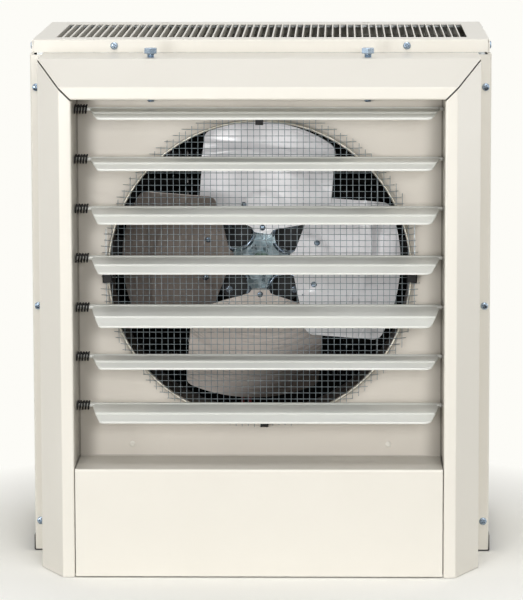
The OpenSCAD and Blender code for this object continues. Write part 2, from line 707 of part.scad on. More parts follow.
module fan_spider() color(galvanised) on_axis() difference() {
    union() {
        rod_y(root_x - 0.5, 0, spider_t, 0, 0);
        for (a = [0:90:270]) rotate([0, a, 0])
            curved([[20, -13], [30, -31], [72, -31], [72, 31], [30, 31], [20, 13]], [0, 0, 9, 9, 0, 0],
                blade_camber, blade_camber + spider_t);
    }
    // Four round hollows leave the arms between them.
    for (a = [45:90:315]) rotate([0, a, 0]) rod_y(16, -30, 30, 40, 0);
    rod_y(shaft_r + 4, -5, 5, 0, 0);
    for (a = [0:90:270]) rotate([0, a, 0]) rivets() rod_y(1.6, -5, 5, 0, 0);
}

// A flat rivet head stands clear of the curved blade by this much at its rim.
head_room = 0.05;

module fan_rivets() color(zinc) on_axis() for (a = [0:90:270]) rotate([0, a, 0]) rivets() {
    rod_y(1.6, -blade_t - 0.5, spider_t + 0.5, 0, 0);
    rod_y(3.2, -blade_t - 1.4, -blade_t - head_room, 0, 0);
    rod_y(2.6, spider_t, spider_t + 1.2, 0, 0);
}

module fan_boss() color(zinc) on_axis() difference() {
    union() {
        rod_y(shaft_r + 4, -9, spider_t, 0, 0);
        rod_y(shaft_r + 8, spider_t, spider_t + 15, 0, 0);
    }
    rod_y(shaft_r, -10, spider_t + 16, 0, 0);
    rod_z(2.5, shaft_r - 1, shaft_r + 12, 0, spider_t + 8);
}

module motor_rotor() color(zinc) place() translate([0, 0, fan_z]) {
    rod_y(shaft_r, fan_y - 10, shell_back_y + bell_t - 2.2, 0, 0);
    rod_y(core_in_r - 0.5, core_y, core_y + core_len, 0, 0);
}

// ---------------------------------------------------------------- elements

module hairpin(r) {
    for (s = [-1, 1]) rod_x(r, -bank_x - 24, bank_x - run_gap / 2, 0, s * run_gap / 2);
    translate([bank_x - run_gap / 2, 0, 0]) rotate([90, 0, 0]) rotate([0, 0, -90])
        rotate_extrude(angle = 180) translate([run_gap / 2, 0]) circle(r = r, $fn = 32);
}

module heating_elements() color([0.35, 0.33, 0.32]) place() for (z = element_z) translate([0, bank_y, z])
    hairpin(sheath_r);

fin_pitch = 9;
module element_fins() color([0.45, 0.43, 0.42]) place() for (z = element_z, s = [-1, 1])
    translate([-bank_x + 14, bank_y, z + s * run_gap / 2]) rotate([0, 90, 0]) {
        n = floor((2 * bank_x - run_gap / 2 - 50) / fin_pitch);
        difference() {
            union() {
                cylinder(r = sheath_r + 1, h = n * fin_pitch, $fn = 32);
                for (i = [0:n]) translate([0, 0, i * fin_pitch - 0.4]) cylinder(d = fin_d, h = 0.8, $fn = 32);
            }
            translate([0, 0, -1]) cylinder(r = sheath_r, h = n * fin_pitch + 3, $fn = 32);
        }
    }

// Two upright plates on the divider carry the elements.
plate_x = [-bank_x, bank_x - 45];
plate_top = element_z[2] + run_gap / 2 + 20;

module element_brackets() color(galvanised) place() difference() {
    for (x = plate_x) {
        block([x, bank_y - 24, divider_z], [x + 1.5, bank_y + 24, plate_top]);
        block([x, bank_y - 24, divider_z], [x + 14, bank_y + 24, divider_z + 1.5]);
    }
    for (z = element_z, s = [-1, 1])
        rod_x(sheath_r, -bank_x - 9, bank_x - 35, bank_y, z + s * run_gap / 2);
}

module limit_thermostat() color(black) place() {
    x = -bank_x + 1.5;
    rod_x(8, x, x + 9, bank_y, fan_z + element_pitch / 2);
    block([x, bank_y - 18, fan_z + element_pitch / 2 - 4], [x + 1, bank_y + 18, fan_z + element_pitch / 2 + 4]);
}

// ---------------------------------------------------------------- control space
// Every piece here stands on the base, in rows behind the front frame.

control_y = inside_y + 60;
contactor_x = -70;
armature_travel = 3;

module contactor_base() color(black) place() translate([contactor_x, control_y, sheet]) difference() {
    union() {
        block([-34, -30, 0], [34, 30, 6]);
        block([-28, -26, 0], [28, 26, 46]);
    }
    block([-22.3, -16.3, 28], [22.3, 16.3, 60]);
    for (x = [-18, 0, 18], s = [-1, 1]) translate([x, s * 21, 40]) cylinder(r = 3, h = 10);
}

module contactor_armature() color([0.55, 0.5, 0.4]) place() translate([contactor_x, control_y, sheet]) {
    block([-22, -16, 28.3 + armature_travel], [22, 16, 49]);
    block([-14, -8, 49], [14, 8, 53]);
}

transformer_x = 40;

module transformer_core() color([0.3, 0.3, 0.32]) place() translate([transformer_x, control_y, sheet]) {
    block([-38, -22, 0], [38, 22, 2]);
    difference() {
        block([-28, -14, 2], [28, 14, 48]);
        block([-20, -15, 11], [-9, 15, 39]);
        block([9, -15, 11], [20, 15, 39]);
    }
}

module transformer_coil() color([0.75, 0.65, 0.3]) place() translate([transformer_x, control_y, sheet])
    difference() {
        block([-20, -21, 11], [20, 21, 39]);
        block([-9, -14, 10], [9, 14, 40]);
        both() block([20, -14, 10], [21, 14, 40]);
        block([-21, -14.0, 10], [-20, 14.0, 40]);
    }

module fan_delay_relay() color([0.16, 0.2, 0.32]) place() translate([wall_x - relay_in, control_y, sheet]) {
    r = relay_w / 2;
    block([-r - 3, -r - 3, 0], [r + 3, r + 3, 5]);
    block([-r, -r, 5], [r, r, relay_h]);
}

module terminal_block() color([0.8, 0.78, 0.7]) place() translate([terminal_x, back_y - rear_row, sheet]) {
    pole = terminal_w / 3;
    difference() {
        block([-terminal_w / 2, -16, 0], [terminal_w / 2, 16, terminal_h]);
        for (i = [-1:1])
            block([i * pole - pole * 0.4, -11, terminal_h / 2], [i * pole + pole * 0.4, 11, terminal_h + 6]);
    }
    for (i = [-1:1]) translate([i * pole, 0, terminal_h / 2]) cylinder(r = 5, h = 7);
}

capacitor_r = capacitor_d / 2;
capacitor_x = 20;

module run_capacitor() color(aluminium) place()
    rod_x(capacitor_r, capacitor_x, capacitor_x + capacitor_l, back_y - rear_row, sheet + 1.5 + capacitor_r);

// A band round the capacitor with two feet on the base.
module capacitor_strap() color(galvanised) place()
translate([capacitor_x + capacitor_l / 2, back_y - rear_row, sheet + 1.5 + capacitor_r]) {
    difference() {
        rod_x(capacitor_r + 1.5, -8, 8, 0, 0);
        rod_x(capacitor_r, -9, 9, 0, 0);
    }
    block([-8, -capacitor_r - 12, -capacitor_r - 1.5], [8, capacitor_r + 12, -capacitor_r]);
}

module ground_lug() color([0.72, 0.5, 0.25]) place()
translate([-wall_x + lug_in, back_y - rear_row, sheet]) difference() {
    union() {
        block([-7, -14, 0], [7, 14, 3]);
        block([-7, -14, 0], [7, 2, 13]);
    }
    rod_y(3, -15, 3, 0, 8);
}

side_panel_left();
side_panel_right();
base_panel();
back_panel();
front_frame();
lid();
hood_top();
hood_side_left();
hood_side_right();
hood_floor();
front_panel();
fan_panel();
panel_rivets();
venturi_ring();
wire_guard();
guard_clips();
louver_springs();
control_divider();
hanger_rail();
hanging_bolts();
hanging_nuts();
cabinet_screws();
lid_screws();
back_screws();
motor_bracket();
bracket_screws();
motor_front_bell();
motor_shell();
motor_rear_bell();
stator_core();
stator_windings();
motor_bearings();
motor_bolts();
motor_leads();
heating_elements();
element_fins();
element_brackets();
limit_thermostat();
contactor_base();
contactor_armature();
transformer_core();
transformer_coil();
fan_delay_relay();
terminal_block();
run_capacitor();
capacitor_strap();
ground_lug();
fan_blades();
fan_spider();
fan_rivets();
fan_boss();
motor_rotor();
louver(0);  // louver_1
louver(1);  // louver_2
louver(2);  // louver_3
louver(3);  // louver_4
louver(4);  // louver_5
louver(5);  // louver_6
louver(6);  // louver_7
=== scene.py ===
# Ceiling mounted fan heater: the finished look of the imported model.
# Sizes are in millimetres as on the drawings: x from the middle, y back from the hood's front,
# z up from the base.
import bpy
import bmesh
import math
from mathutils import Matrix, Vector


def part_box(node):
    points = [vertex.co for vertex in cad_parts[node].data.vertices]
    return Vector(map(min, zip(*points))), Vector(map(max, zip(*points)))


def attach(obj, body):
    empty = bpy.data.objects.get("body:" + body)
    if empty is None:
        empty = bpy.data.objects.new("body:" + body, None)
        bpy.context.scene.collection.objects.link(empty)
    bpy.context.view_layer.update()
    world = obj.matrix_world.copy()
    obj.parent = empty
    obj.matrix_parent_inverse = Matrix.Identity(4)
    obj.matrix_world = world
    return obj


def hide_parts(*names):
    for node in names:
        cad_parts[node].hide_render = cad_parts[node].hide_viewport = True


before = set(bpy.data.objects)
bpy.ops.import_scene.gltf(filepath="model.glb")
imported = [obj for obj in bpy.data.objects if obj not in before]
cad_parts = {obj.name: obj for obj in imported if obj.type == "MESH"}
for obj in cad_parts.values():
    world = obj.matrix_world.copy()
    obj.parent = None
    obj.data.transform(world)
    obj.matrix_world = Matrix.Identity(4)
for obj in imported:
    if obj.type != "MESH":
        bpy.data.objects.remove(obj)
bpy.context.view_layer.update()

MM = 0.001
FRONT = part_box("front_panel")[0].y

# The sizes that the sheet metal, the louvers and the fan share with the model.
SHEET = 1.2
CAB_Y, BACK_Y = 130.0, 390.0
SIDE_X, LID_X, UPSTAND_X = 240.0, 238.0, 236.8
HOOD_X, BEVEL_IN, BEVEL_D, STRIP_W, CHAMBER_D = 226.0, 25.0, 50.0, 12.5, 74.0
OPEN_X = HOOD_X - BEVEL_IN - STRIP_W
TOP_Z, LIP_H, HOOD_TOP_Z = 542.0, 13.7, 528.0
OPEN_TOP_Z = HOOD_TOP_Z - BEVEL_IN - STRIP_W
STEP_Z = HOOD_TOP_Z - 0.7
SILL_Z = OPEN_TOP_Z - 378.0
FAN_Z, FAN_Y, RING_R = OPEN_TOP_Z - 183.0, 148.0, 154.5
TILTS = (5, 6, 11, 11, 16.5, 5, 11.5)
PIVOT_Y, PIVOT_PITCH = 45.0, 51.0
PIVOTS = [OPEN_TOP_Z - 13.3 - PIVOT_PITCH * i for i in range(len(TILTS))]
BOLT_X, BOLT_Y, REAR_BOLT_Y, HEX_ACROSS = 111.0, 67.0, 372.9, 12.4
SLOT_N, SLOT_PITCH, SLOT_W = 55, 7.85, 6.6
SLOT_X0 = -SLOT_PITCH * (SLOT_N - 1) / 2
SLOT_Y0, SLOT_Y1 = 157.6, 354.6
RING_Y = 62.0
# The middle of the case and how far its sheets' inner faces stand from it.
CASE_Y, CASE_Z = 260.0, 264.2
CASE_HALF = Vector((238.9, 128.9, 262.9)) * MM
# How dark the painted shade is beside the outlet.
PAINTED_SHADE_STRENGTH = 0.48


def at(x, y, z):
    """A place on the drawings, in metres in the model's frame."""
    return Vector((x * MM, FRONT + y * MM, z * MM))


# ---------------------------------------------------------------- nodes and finishes


def add(tree, kind, wires=None, **settings):
    """Adds one node. wires gives an input, by name or number, a value or another node's output."""
    node = tree.nodes.new(kind)
    for key, value in settings.items():
        setattr(node, key, value)
    for key, value in (wires or {}).items():
        if isinstance(key, int):
            socket = node.inputs[key]
        else:
            socket = next(s for s in node.inputs if s.name == key and s.enabled)
        if isinstance(value, bpy.types.Node):
            value = next(s for s in value.outputs if s.enabled)
        if isinstance(value, bpy.types.NodeSocket):
            tree.links.new(value, socket)
        else:
            socket.default_value = value
    return node


def colour(code):
    """An sRGB hex colour as the linear value that the shaders read."""
    parts = [int(code[i:i + 2], 16) / 255 for i in (1, 3, 5)]
    return tuple(c / 12.92 if c <= 0.04045 else ((c + 0.055) / 1.055) ** 2.4 for c in parts) + (1,)


def per_mm(size):
    """Scale of a pattern whose features are this many millimetres apart, on coordinates in metres."""
    return 1000 / size


def finish(name, **constants):
    """A material with its shader, and the object's own coordinates to draw patterns on."""
    material = bpy.data.materials.new(name)
    material.use_nodes = True
    tree = material.node_tree
    shader = tree.nodes["Principled BSDF"]
    for key, value in constants.items():
        shader.inputs[key.replace("_", " ")].default_value = value
    place = add(tree, "ShaderNodeTexCoord").outputs["Object"]
    return material, tree, shader, place


def powder_coat(name, light, dark, level=0.5):
    """Polyester powder coat on steel: warm white, half gloss, with the faint orange peel of a baked film,
    and painted shade in the outlet's recess and inside the case.
    """
    material, tree, shader, place = finish(name, IOR=1.5, Specular_IOR_Level=level)
    drift = add(tree, "ShaderNodeTexNoise", {"Vector": place, "Scale": per_mm(90), "Detail": 3.0})
    tone = add(tree, "ShaderNodeMix", {"Factor": drift.outputs["Fac"], 6: colour(dark), 7: colour(light)},
        data_type="RGBA")
    # A film of dust and handling marks a few centimetres across, only just there.
    marks = add(tree, "ShaderNodeTexNoise", {"Vector": place, "Scale": per_mm(26), "Detail": 6.0,
        "Roughness": 0.7})
    worn = add(tree, "ShaderNodeMapRange", {"Value": marks.outputs["Fac"], "From Min": 0.62,
        "From Max": 0.8, "To Min": 0.0, "To Max": 0.12})
    dusty = add(tree, "ShaderNodeMix", {"Factor": worn, 6: tone.outputs[2], 7: colour("#cfcabf")},
        data_type="RGBA")
    # Where a point lies in the case: its distance from the middle, and past the sheets' inner faces.
    offset = add(tree, "ShaderNodeVectorMath", {0: place, 1: at(0, CASE_Y, CASE_Z)}, operation="SUBTRACT")
    mirrored = add(tree, "ShaderNodeVectorMath", {0: offset}, operation="ABSOLUTE")
    out = add(tree, "ShaderNodeSeparateXYZ", {0: mirrored})
    # Painted shade greys the sheet towards the outlet's side walls and further back, with a darker painted
    # line in the corner.
    shade_beside_walls = add(tree, "ShaderNodeMapRange", {"Value": out.outputs[0], "From Min": (OPEN_X - 25.5) * MM,
        "From Max": OPEN_X * MM, "To Max": PAINTED_SHADE_STRENGTH}, interpolation_type="SMOOTHSTEP")
    shade_deeper_in = add(tree, "ShaderNodeMapRange", {"Value": out.outputs[1], "From Min": CASE_Y * MM,
        "From Max": (CASE_Y - 35) * MM})
    corner = add(tree, "ShaderNodeMath", {0: out.outputs[0], 1: (OPEN_X - 1) * MM, 2: 0.9 * MM},
        operation="COMPARE")
    edge = add(tree, "ShaderNodeMath", {0: corner, 1: 0.35, 2: shade_beside_walls}, operation="MULTIPLY_ADD")
    wall_shade = add(tree, "ShaderNodeMath", {0: edge, 1: shade_deeper_in}, operation="MULTIPLY")
    # The painted shade lies only in the recess behind the opening: within its walls, below its top, before
    # the fan.
    within = add(tree, "ShaderNodeMath", {0: out.outputs[0], 1: (OPEN_X + 0.8) * MM}, operation="LESS_THAN")
    before = add(tree, "ShaderNodeMath", {0: out.outputs[1], 1: (CASE_Y - CHAMBER_D - 1.8) * MM},
        operation="GREATER_THAN")
    below = add(tree, "ShaderNodeMath", {0: out.outputs[2], 1: (OPEN_TOP_Z - CASE_Z + 0.8) * MM},
        operation="LESS_THAN")
    framed = add(tree, "ShaderNodeMath", {0: within, 1: below}, operation="MULTIPLY")
    recess = add(tree, "ShaderNodeMath", {0: framed, 1: before}, operation="MULTIPLY")
    recess_shade = add(tree, "ShaderNodeMath", {0: wall_shade, 1: recess}, operation="MULTIPLY")
    # Painted shade darkens the level sill under the louvers.
    spot = add(tree, "ShaderNodeSeparateXYZ", {0: offset})
    low = add(tree, "ShaderNodeMapRange", {"Value": spot.outputs[2],
        "From Min": (SILL_Z + 1.7 - CASE_Z) * MM, "From Max": (SILL_Z + 0.9 - CASE_Z) * MM, "To Max": 0.32})
    behind = add(tree, "ShaderNodeMath", {0: out.outputs[1], 1: (CASE_Y - 2.5) * MM}, operation="LESS_THAN")
    sill_shade = add(tree, "ShaderNodeMath", {0: low, 1: behind}, operation="MULTIPLY")
    on_sill = add(tree, "ShaderNodeMath", {0: sill_shade, 1: recess}, operation="MULTIPLY")
    painted_shade_amount = add(tree, "ShaderNodeMath", {0: recess_shade, 1: on_sill}, operation="MAXIMUM")
    shaded_tone = add(tree, "ShaderNodeMix", {"Factor": painted_shade_amount, 6: dusty.outputs[2], 7: colour("#5c574e")},
        data_type="RGBA")
    # The faces inside the case are painted near black as painted shade, so nothing pale shows between the
    # blades.
    past = add(tree, "ShaderNodeVectorMath", {0: mirrored, 1: CASE_HALF}, operation="SUBTRACT")
    side = add(tree, "ShaderNodeSeparateXYZ", {0: past})
    wide = add(tree, "ShaderNodeMath", {0: side.outputs[0], 1: side.outputs[1]}, operation="MAXIMUM")
    far = add(tree, "ShaderNodeMath", {0: wide, 1: side.outputs[2]}, operation="MAXIMUM")
    shaded_inside = add(tree, "ShaderNodeMath", {0: far, 1: 0.0}, operation="LESS_THAN")
    coat = add(tree, "ShaderNodeMix", {"Factor": shaded_inside, 6: shaded_tone.outputs[2], 7: colour("#080807")},
        data_type="RGBA")
    tree.links.new(coat.outputs[2], shader.inputs["Base Color"])
    sheen = add(tree, "ShaderNodeMapRange", {"Value": marks.outputs["Fac"], "To Min": 0.27, "To Max": 0.33})
    tree.links.new(sheen.outputs[0], shader.inputs["Roughness"])
    # Orange peel is about 1.5 mm across and a few microns deep.
    peel = add(tree, "ShaderNodeTexNoise", {"Vector": place, "Scale": per_mm(1.6), "Detail": 1.0})
    # Rolled sheet is never quite flat: long soft waves bend the reflections.
    wave = add(tree, "ShaderNodeTexNoise", {"Vector": place, "Scale": per_mm(70), "Detail": 1.0})
    broad = add(tree, "ShaderNodeBump", {"Height": wave.outputs["Fac"], "Strength": 0.25,
        "Distance": 0.3 * MM})
    fine = add(tree, "ShaderNodeBump", {"Height": peel.outputs["Fac"], "Strength": 0.35,
        "Distance": 0.02 * MM, "Normal": broad})
    tree.links.new(fine.outputs[0], shader.inputs["Normal"])
    return material


def skin(tree, shader, shades, light, dark, gloss_by, low, high, relief, strength, depth):
    """Two colours, a spread of roughness and a fine relief of so many mm, each by its own pattern."""
    tone = add(tree, "ShaderNodeMix", {"Factor": shades, 6: colour(light), 7: colour(dark)},
        data_type="RGBA")
    tree.links.new(tone.outputs[2], shader.inputs["Base Color"])
    gloss = add(tree, "ShaderNodeMapRange", {"Value": gloss_by, "To Min": low, "To Max": high})
    tree.links.new(gloss.outputs[0], shader.inputs["Roughness"])
    bump = add(tree, "ShaderNodeBump", {"Height": relief, "Strength": strength, "Distance": depth * MM})
    tree.links.new(bump.outputs[0], shader.inputs["Normal"])


def spangled_zinc(name, light, dark, size, rough):
    """Hot dip galvanised sheet: zinc crystals a few mm across, each with its own grey and gloss."""
    material, tree, shader, place = finish(name, Metallic=1.0)
    cells = add(tree, "ShaderNodeTexVoronoi", {"Vector": place, "Scale": per_mm(size)})
    value = add(tree, "ShaderNodeSeparateColor", {"Color": cells.outputs["Color"]})
    frost = add(tree, "ShaderNodeTexNoise", {"Vector": place, "Scale": per_mm(1.2), "Detail": 2.0})
    skin(tree, shader, value.outputs[0], light, dark, value.outputs[1], rough, rough + 0.16,
        frost.outputs["Fac"], 0.2, 0.05)
    return material


def rolled_metal(name, light, dark, grain, stretch, rough):
    """Rolled or drawn metal: fine lines along the mill's direction, with soft patches of wear."""
    material, tree, shader, place = finish(name, Metallic=1.0)
    lines = add(tree, "ShaderNodeMapping", {"Vector": place, "Scale": stretch})
    streak = add(tree, "ShaderNodeTexNoise", {"Vector": lines, "Scale": per_mm(grain), "Detail": 3.0})
    patch = add(tree, "ShaderNodeTexNoise", {"Vector": place, "Scale": per_mm(22), "Detail": 4.0})
    both = add(tree, "ShaderNodeMath", {0: streak.outputs["Fac"], 1: patch.outputs["Fac"]},
        operation="MULTIPLY")
    spread = add(tree, "ShaderNodeMapRange", {"Value": both, "From Min": 0.12, "From Max": 0.42})
    skin(tree, shader, spread, light, dark, spread, rough, rough + 0.14, streak.outputs["Fac"], 0.2, 0.06)
    return material


def moulding(name, light, dark, grain, rough, metallic=0.0):
    """Moulded, lacquered or cast stock: a close grain in its colour and a dull skin."""
    material, tree, shader, place = finish(name, Metallic=metallic)
    grit = add(tree, "ShaderNodeTexNoise", {"Vector": place, "Scale": per_mm(grain), "Detail": 4.0})
    shades = grit.outputs["Fac"]
    skin(tree, shader, shades, light, dark, shades, rough - 0.08, rough + 0.1, shades, 0.3, 0.08)
    return material


def fan_sheet(name, light, dark, rough, metallic, lit_until=0.3, shaded_from=0.31):
    """Mill finish aluminium: smooth, softly mirroring, with faint lines from the press round the axis, and
    painted shade towards the lower right.
    """
    material, tree, shader, place = finish(name, Metallic=metallic)
    offset = add(tree, "ShaderNodeVectorMath", {0: place, 1: at(0, FAN_Y, FAN_Z)}, operation="SUBTRACT")
    flat = add(tree, "ShaderNodeMapping", {"Vector": offset, "Scale": (1.0, 0.0, 1.0)})
    out = add(tree, "ShaderNodeVectorMath", {0: flat}, operation="LENGTH")
    turned_way = add(tree, "ShaderNodeVectorMath", {0: flat, "Scale": 0.04}, operation="SCALE")
    lines = add(tree, "ShaderNodeVectorMath", {0: turned_way, 1: add(tree, "ShaderNodeCombineXYZ",
        {1: out.outputs["Value"]})}, operation="ADD")
    streak = add(tree, "ShaderNodeTexNoise", {"Vector": lines, "Scale": per_mm(5), "Detail": 3.0})
    tone = add(tree, "ShaderNodeMix", {"Factor": streak.outputs["Fac"], 6: colour(light), 7: colour(dark)},
        data_type="RGBA")
    # Painted shade turns the sheet brown towards its lower right.
    slant = add(tree, "ShaderNodeVectorMath", {0: offset, 1: (0.56, 0.0, -0.83)}, operation="DOT_PRODUCT")
    lower_right_shade = add(tree, "ShaderNodeMapRange", {"Value": slant.outputs["Value"], "From Min": lit_until,
        "From Max": shaded_from}, interpolation_type="SMOOTHSTEP")
    dusty = add(tree, "ShaderNodeMix", {"Factor": lower_right_shade, 6: tone.outputs[2], 7: colour("#453e39")},
        data_type="RGBA")
    tree.links.new(dusty.outputs[2], shader.inputs["Base Color"])
    gloss = add(tree, "ShaderNodeMapRange", {"Value": streak.outputs["Fac"], "From Min": 0.3,
        "From Max": 0.7, "To Min": rough - 0.04, "To Max": rough + 0.04})
    tree.links.new(gloss.outputs[0], shader.inputs["Roughness"])
    bump = add(tree, "ShaderNodeBump", {"Height": streak.outputs["Fac"], "Strength": 0.25,
        "Distance": 0.12 * MM})
    tree.links.new(bump.outputs[0], shader.inputs["Normal"])
    return material


def layered(name, light, dark, step, direction, rough, metallic=0.0):
    """Stacked laminations, wound wire or wrapped tape: even bands at the pitch of one layer."""
    material, tree, shader, place = finish(name, Metallic=metallic, Roughness=rough)
    # One layer is too fine to show, so the bands are drawn 6.3 times as coarse as step.
    bands = add(tree, "ShaderNodeTexWave", {"Vector": place, "Scale": per_mm(step) / 20,
        "Distortion": 0.6, "Detail": 2.0, "Detail Scale": 3.0}, bands_direction=direction)
    tone = add(tree, "ShaderNodeMix", {"Factor": bands.outputs["Fac"], 6: colour(dark), 7: colour(light)},
        data_type="RGBA")
    tree.links.new(tone.outputs[2], shader.inputs["Base Color"])
    bump = add(tree, "ShaderNodeBump", {"Height": bands.outputs["Fac"], "Strength": 0.5,
        "Distance": 0.2 * MM})
    tree.links.new(bump.outputs[0], shader.inputs["Normal"])
    return material


# Warm white powder coat, half gloss: soft highlights along the folds.
PAINT = powder_coat("powder_coated_steel", "#e5e1d8", "#dfdbd1")
# The louvers' coat is a cooler white, so they stand out against the case.
LOUVER_PAINT = powder_coat("powder_coated_louver", "#e1e2dd", "#dbdcd7")
# The back panel's coat is matt, so nothing glints between the blades.
BACK_PAINT = powder_coat("matt_powder_coated_back", "#e5e1d8", "#dfdbd1", 0.08)
# The fan panel's coat: a greyer, browner copy of the case's, painted shade for the recess behind the
# louvers.
SHADED_WALL_PAINT = powder_coat("powder_coated_fan_panel", "#ddd7cd", "#d7d0c6")
# Hot dip galvanised sheet: cold grey spangle that glints crystal by crystal.
GALVANISED = spangled_zinc("galvanised_steel_sheet", "#c3c6c6", "#9da2a3", 7, 0.34)
# The ring's rolled edge: a pale, warm line of light round the fan.
BRIGHT_ZINC = spangled_zinc("galvanised_rolled_edge", "#e3dfd3", "#c4beb1", 5, 0.3)
# The ring's throat: dark brown and dull, painted shade inside the ring.
SHADED_ZINC = spangled_zinc("dust_dulled_zinc", "#4b443d", "#352f2a", 7, 0.5)
# Zinc plated pressing: blue grey, its bends brightly lit.
SPIDER_ZINC = spangled_zinc("zinc_plated_pressing", "#a3b2b8", "#7d8f97", 5, 0.24)
# Chromated zinc on a turned boss: grey with a green cast.
BOSS_ZINC = spangled_zinc("chromated_zinc_boss", "#98b0a4", "#6b8379", 3, 0.26)
# Galvanised wire: pale blue grey lines with a weak glint.
WIRE_ZINC = spangled_zinc("galvanised_wire", "#b3bec5", "#8b969e", 3, 0.4)
# Blue passivated zinc plate: a clear blue glint on each screw head.
SCREW_ZINC = rolled_metal("blue_zinc_plated_steel", "#b3c1cf", "#75879b", 1.2, (1, 1, 1), 0.16)
# Mill finish aluminium for the top and right blades: the lit copy of the blades' sheet, nearly white, with
# broad soft reflections.
ALUMINIUM = fan_sheet("mill_finish_aluminium", "#fdfcff", "#f5f4f8", 0.24, 0.08)
# The lower blade: the half shaded copy, pale near the hub, then brown with painted shade.
HALF_SHADED_ALUMINIUM = fan_sheet("dust_streaked_aluminium", "#ebe2db", "#dfd5ce", 0.28, 0.15, 0.07, 0.13)
# The left blade: the shaded copy, a dull brown grey all over as painted shade.
SHADED_ALUMINIUM = fan_sheet("dusty_aluminium", "#9c928b", "#877d77", 0.32, 0.4)
# Die cast aluminium: dull grey with a fine sandy grain.
CAST_ALUMINIUM = moulding("die_cast_aluminium", "#b9bbbc", "#8f9293", 1.6, 0.46, 1.0)
# Drawn aluminium can: bright, with fine lines along its length.
CAN_ALUMINIUM = rolled_metal("drawn_aluminium_can", "#d9dadc", "#b9babd", 0.8, (0.05, 1, 1), 0.28)
# Black oxide on spring steel: near black with an oily sheen.
BLACK_STEEL = moulding("black_oxide_spring_steel", "#151414", "#0a0a0a", 1.2, 0.42, 0.2)
# Stoved lacquer: black and softly glossy.
BLACK_LACQUER = moulding("black_stoved_lacquer", "#232324", "#151516", 1.5, 0.34)
# Primer: brownish black and nearly matt.
PRIMED = moulding("black_primed_steel", "#2b2826", "#1b1918", 1.4, 0.42)
# Silicon steel laminations: dark grey with fine bands.
LAMINATION = layered("silicon_steel_lamination", "#6d6f72", "#3a3b3d", 1.0, "Y", 0.42, 0.8)
# Enamelled copper: warm brown under a glossy varnish.
COPPER = layered("enamelled_copper_wire", "#b5632f", "#6d3416", 0.9, "DIAGONAL", 0.3, 0.6)
# Ground steel: the brightest and sharpest mirror in the heater.
BEARING = rolled_metal("ground_bearing_steel", "#cfd1d3", "#a8abae", 0.6, (1, 0.1, 1), 0.14)
# Silicone rubber: deep red and dull.
LEAD = moulding("silicone_rubber_lead", "#8e1b14", "#6d120e", 2.5, 0.5)
# Nickel alloy sheath: oxidised dark brown by heat.
SHEATH = rolled_metal("nickel_alloy_sheath", "#3a3531", "#221e1b", 1.8, (0.08, 1, 1), 0.42)
# Steel fins: blackened by heat, hardly any shine.
FIN = moulding("heat_blackened_steel_fin", "#1d1a18", "#120f0d", 2.2, 0.55, 0.2)
# Phenolic: dark brown moulding with a faint gloss.
PHENOLIC = moulding("phenolic_moulding", "#26221f", "#171412", 0.8, 0.45)
# Glass filled nylon: straw colour and dull.
CROSSBAR = moulding("glass_filled_nylon", "#b8a985", "#9a8c6a", 0.9, 0.5)
# Polyester tape: amber, a glossy edge at each layer.
TAPE = layered("polyester_coil_tape", "#cdb163", "#a98b41", 1.3, "Z", 0.35)
# Polycarbonate: dark blue, smooth and glossy.
RELAY_CASE = moulding("polycarbonate_case", "#29344a", "#1e2738", 1.6, 0.25)
# Urea: ivory, half gloss.
TERMINAL = moulding("urea_terminal_block", "#d8d2bf", "#c3bca6", 1.1, 0.4)
# Brass: yellow with fine rolling lines.
BRASS = rolled_metal("rolled_brass", "#c99b4c", "#9c7430", 1.2, (1, 0.1, 1), 0.26)


# ---------------------------------------------------------------- making pieces


def baked(thing):
    """The mesh that a piece has once its modifiers have run, which then takes the place of both."""
    view = bpy.context.evaluated_depsgraph_get()
    mesh = bpy.data.meshes.new_from_object(thing.evaluated_get(view))
    thing.modifiers.clear()
    thing.data = mesh
    mesh.name = thing.name
    return mesh


def settle(thing, material, body, nodes, sharp, level=False):
    """Bakes a piece's modifiers into its mesh, smooths its bends and puts it on its body."""
    mesh = baked(thing)
    mesh.materials.clear()
    mesh.materials.append(material)
    mesh.polygons.foreach_set("material_index", [0] * len(mesh.polygons))
    mesh.polygons.foreach_set("use_smooth", [True] * len(mesh.polygons))
    mesh.set_sharp_from_angle(angle=math.radians(sharp))
    if level:
        # A wide flat face keeps its own light up to its eased edges.
        flat = thing.modifiers.new("level_faces", "WEIGHTED_NORMAL")
        flat.weight = 100
        flat.keep_sharp = True
        bpy.context.view_layer.update()
        baked(thing)
    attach(thing, body)
    if nodes:
        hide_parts(*nodes)
    return thing


def solid(name, shape):
    """Turns a bmesh into an object, with its faces pointing outwards."""
    bmesh.ops.recalc_face_normals(shape, faces=shape.faces)
    mesh = bpy.data.meshes.new(name)
    shape.to_mesh(mesh)
    shape.free()
    return stand(name, mesh)


def stand(name, data):
    """Puts a mesh, a lamp or a camera in the scene."""
    thing = bpy.data.objects.new(name, data)
    bpy.context.scene.collection.objects.link(thing)
    return thing


def piece(name, shape, material, body="cabinet", nodes=(), ease=0.25, sharp=32):
    """Turns a bmesh into a finished piece with its cut edges eased by so many millimetres."""
    thing = solid(name, shape)
    if ease:
        edge = thing.modifiers.new("eased_edges", "BEVEL")
        edge.width = ease * MM
        edge.segments = 2
        edge.limit_method = "ANGLE"
        edge.angle_limit = math.radians(40)
        edge.use_clamp_overlap = True
    return settle(thing, material, body, nodes, sharp, level=ease > 0)


def eased_copy(node, material, ease=0.3, sharp=32, body="cabinet"):
    """A CAD solid with its loose triangles joined and its edges eased, in its own place."""
    shape = bmesh.new()
    shape.from_mesh(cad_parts[node].data)
    bmesh.ops.remove_doubles(shape, verts=shape.verts, dist=2e-6)
    bmesh.ops.dissolve_limit(shape, angle_limit=math.radians(0.5), verts=shape.verts, edges=shape.edges)
    return piece(node + "_finished", shape, material, body, (node,), ease, sharp)


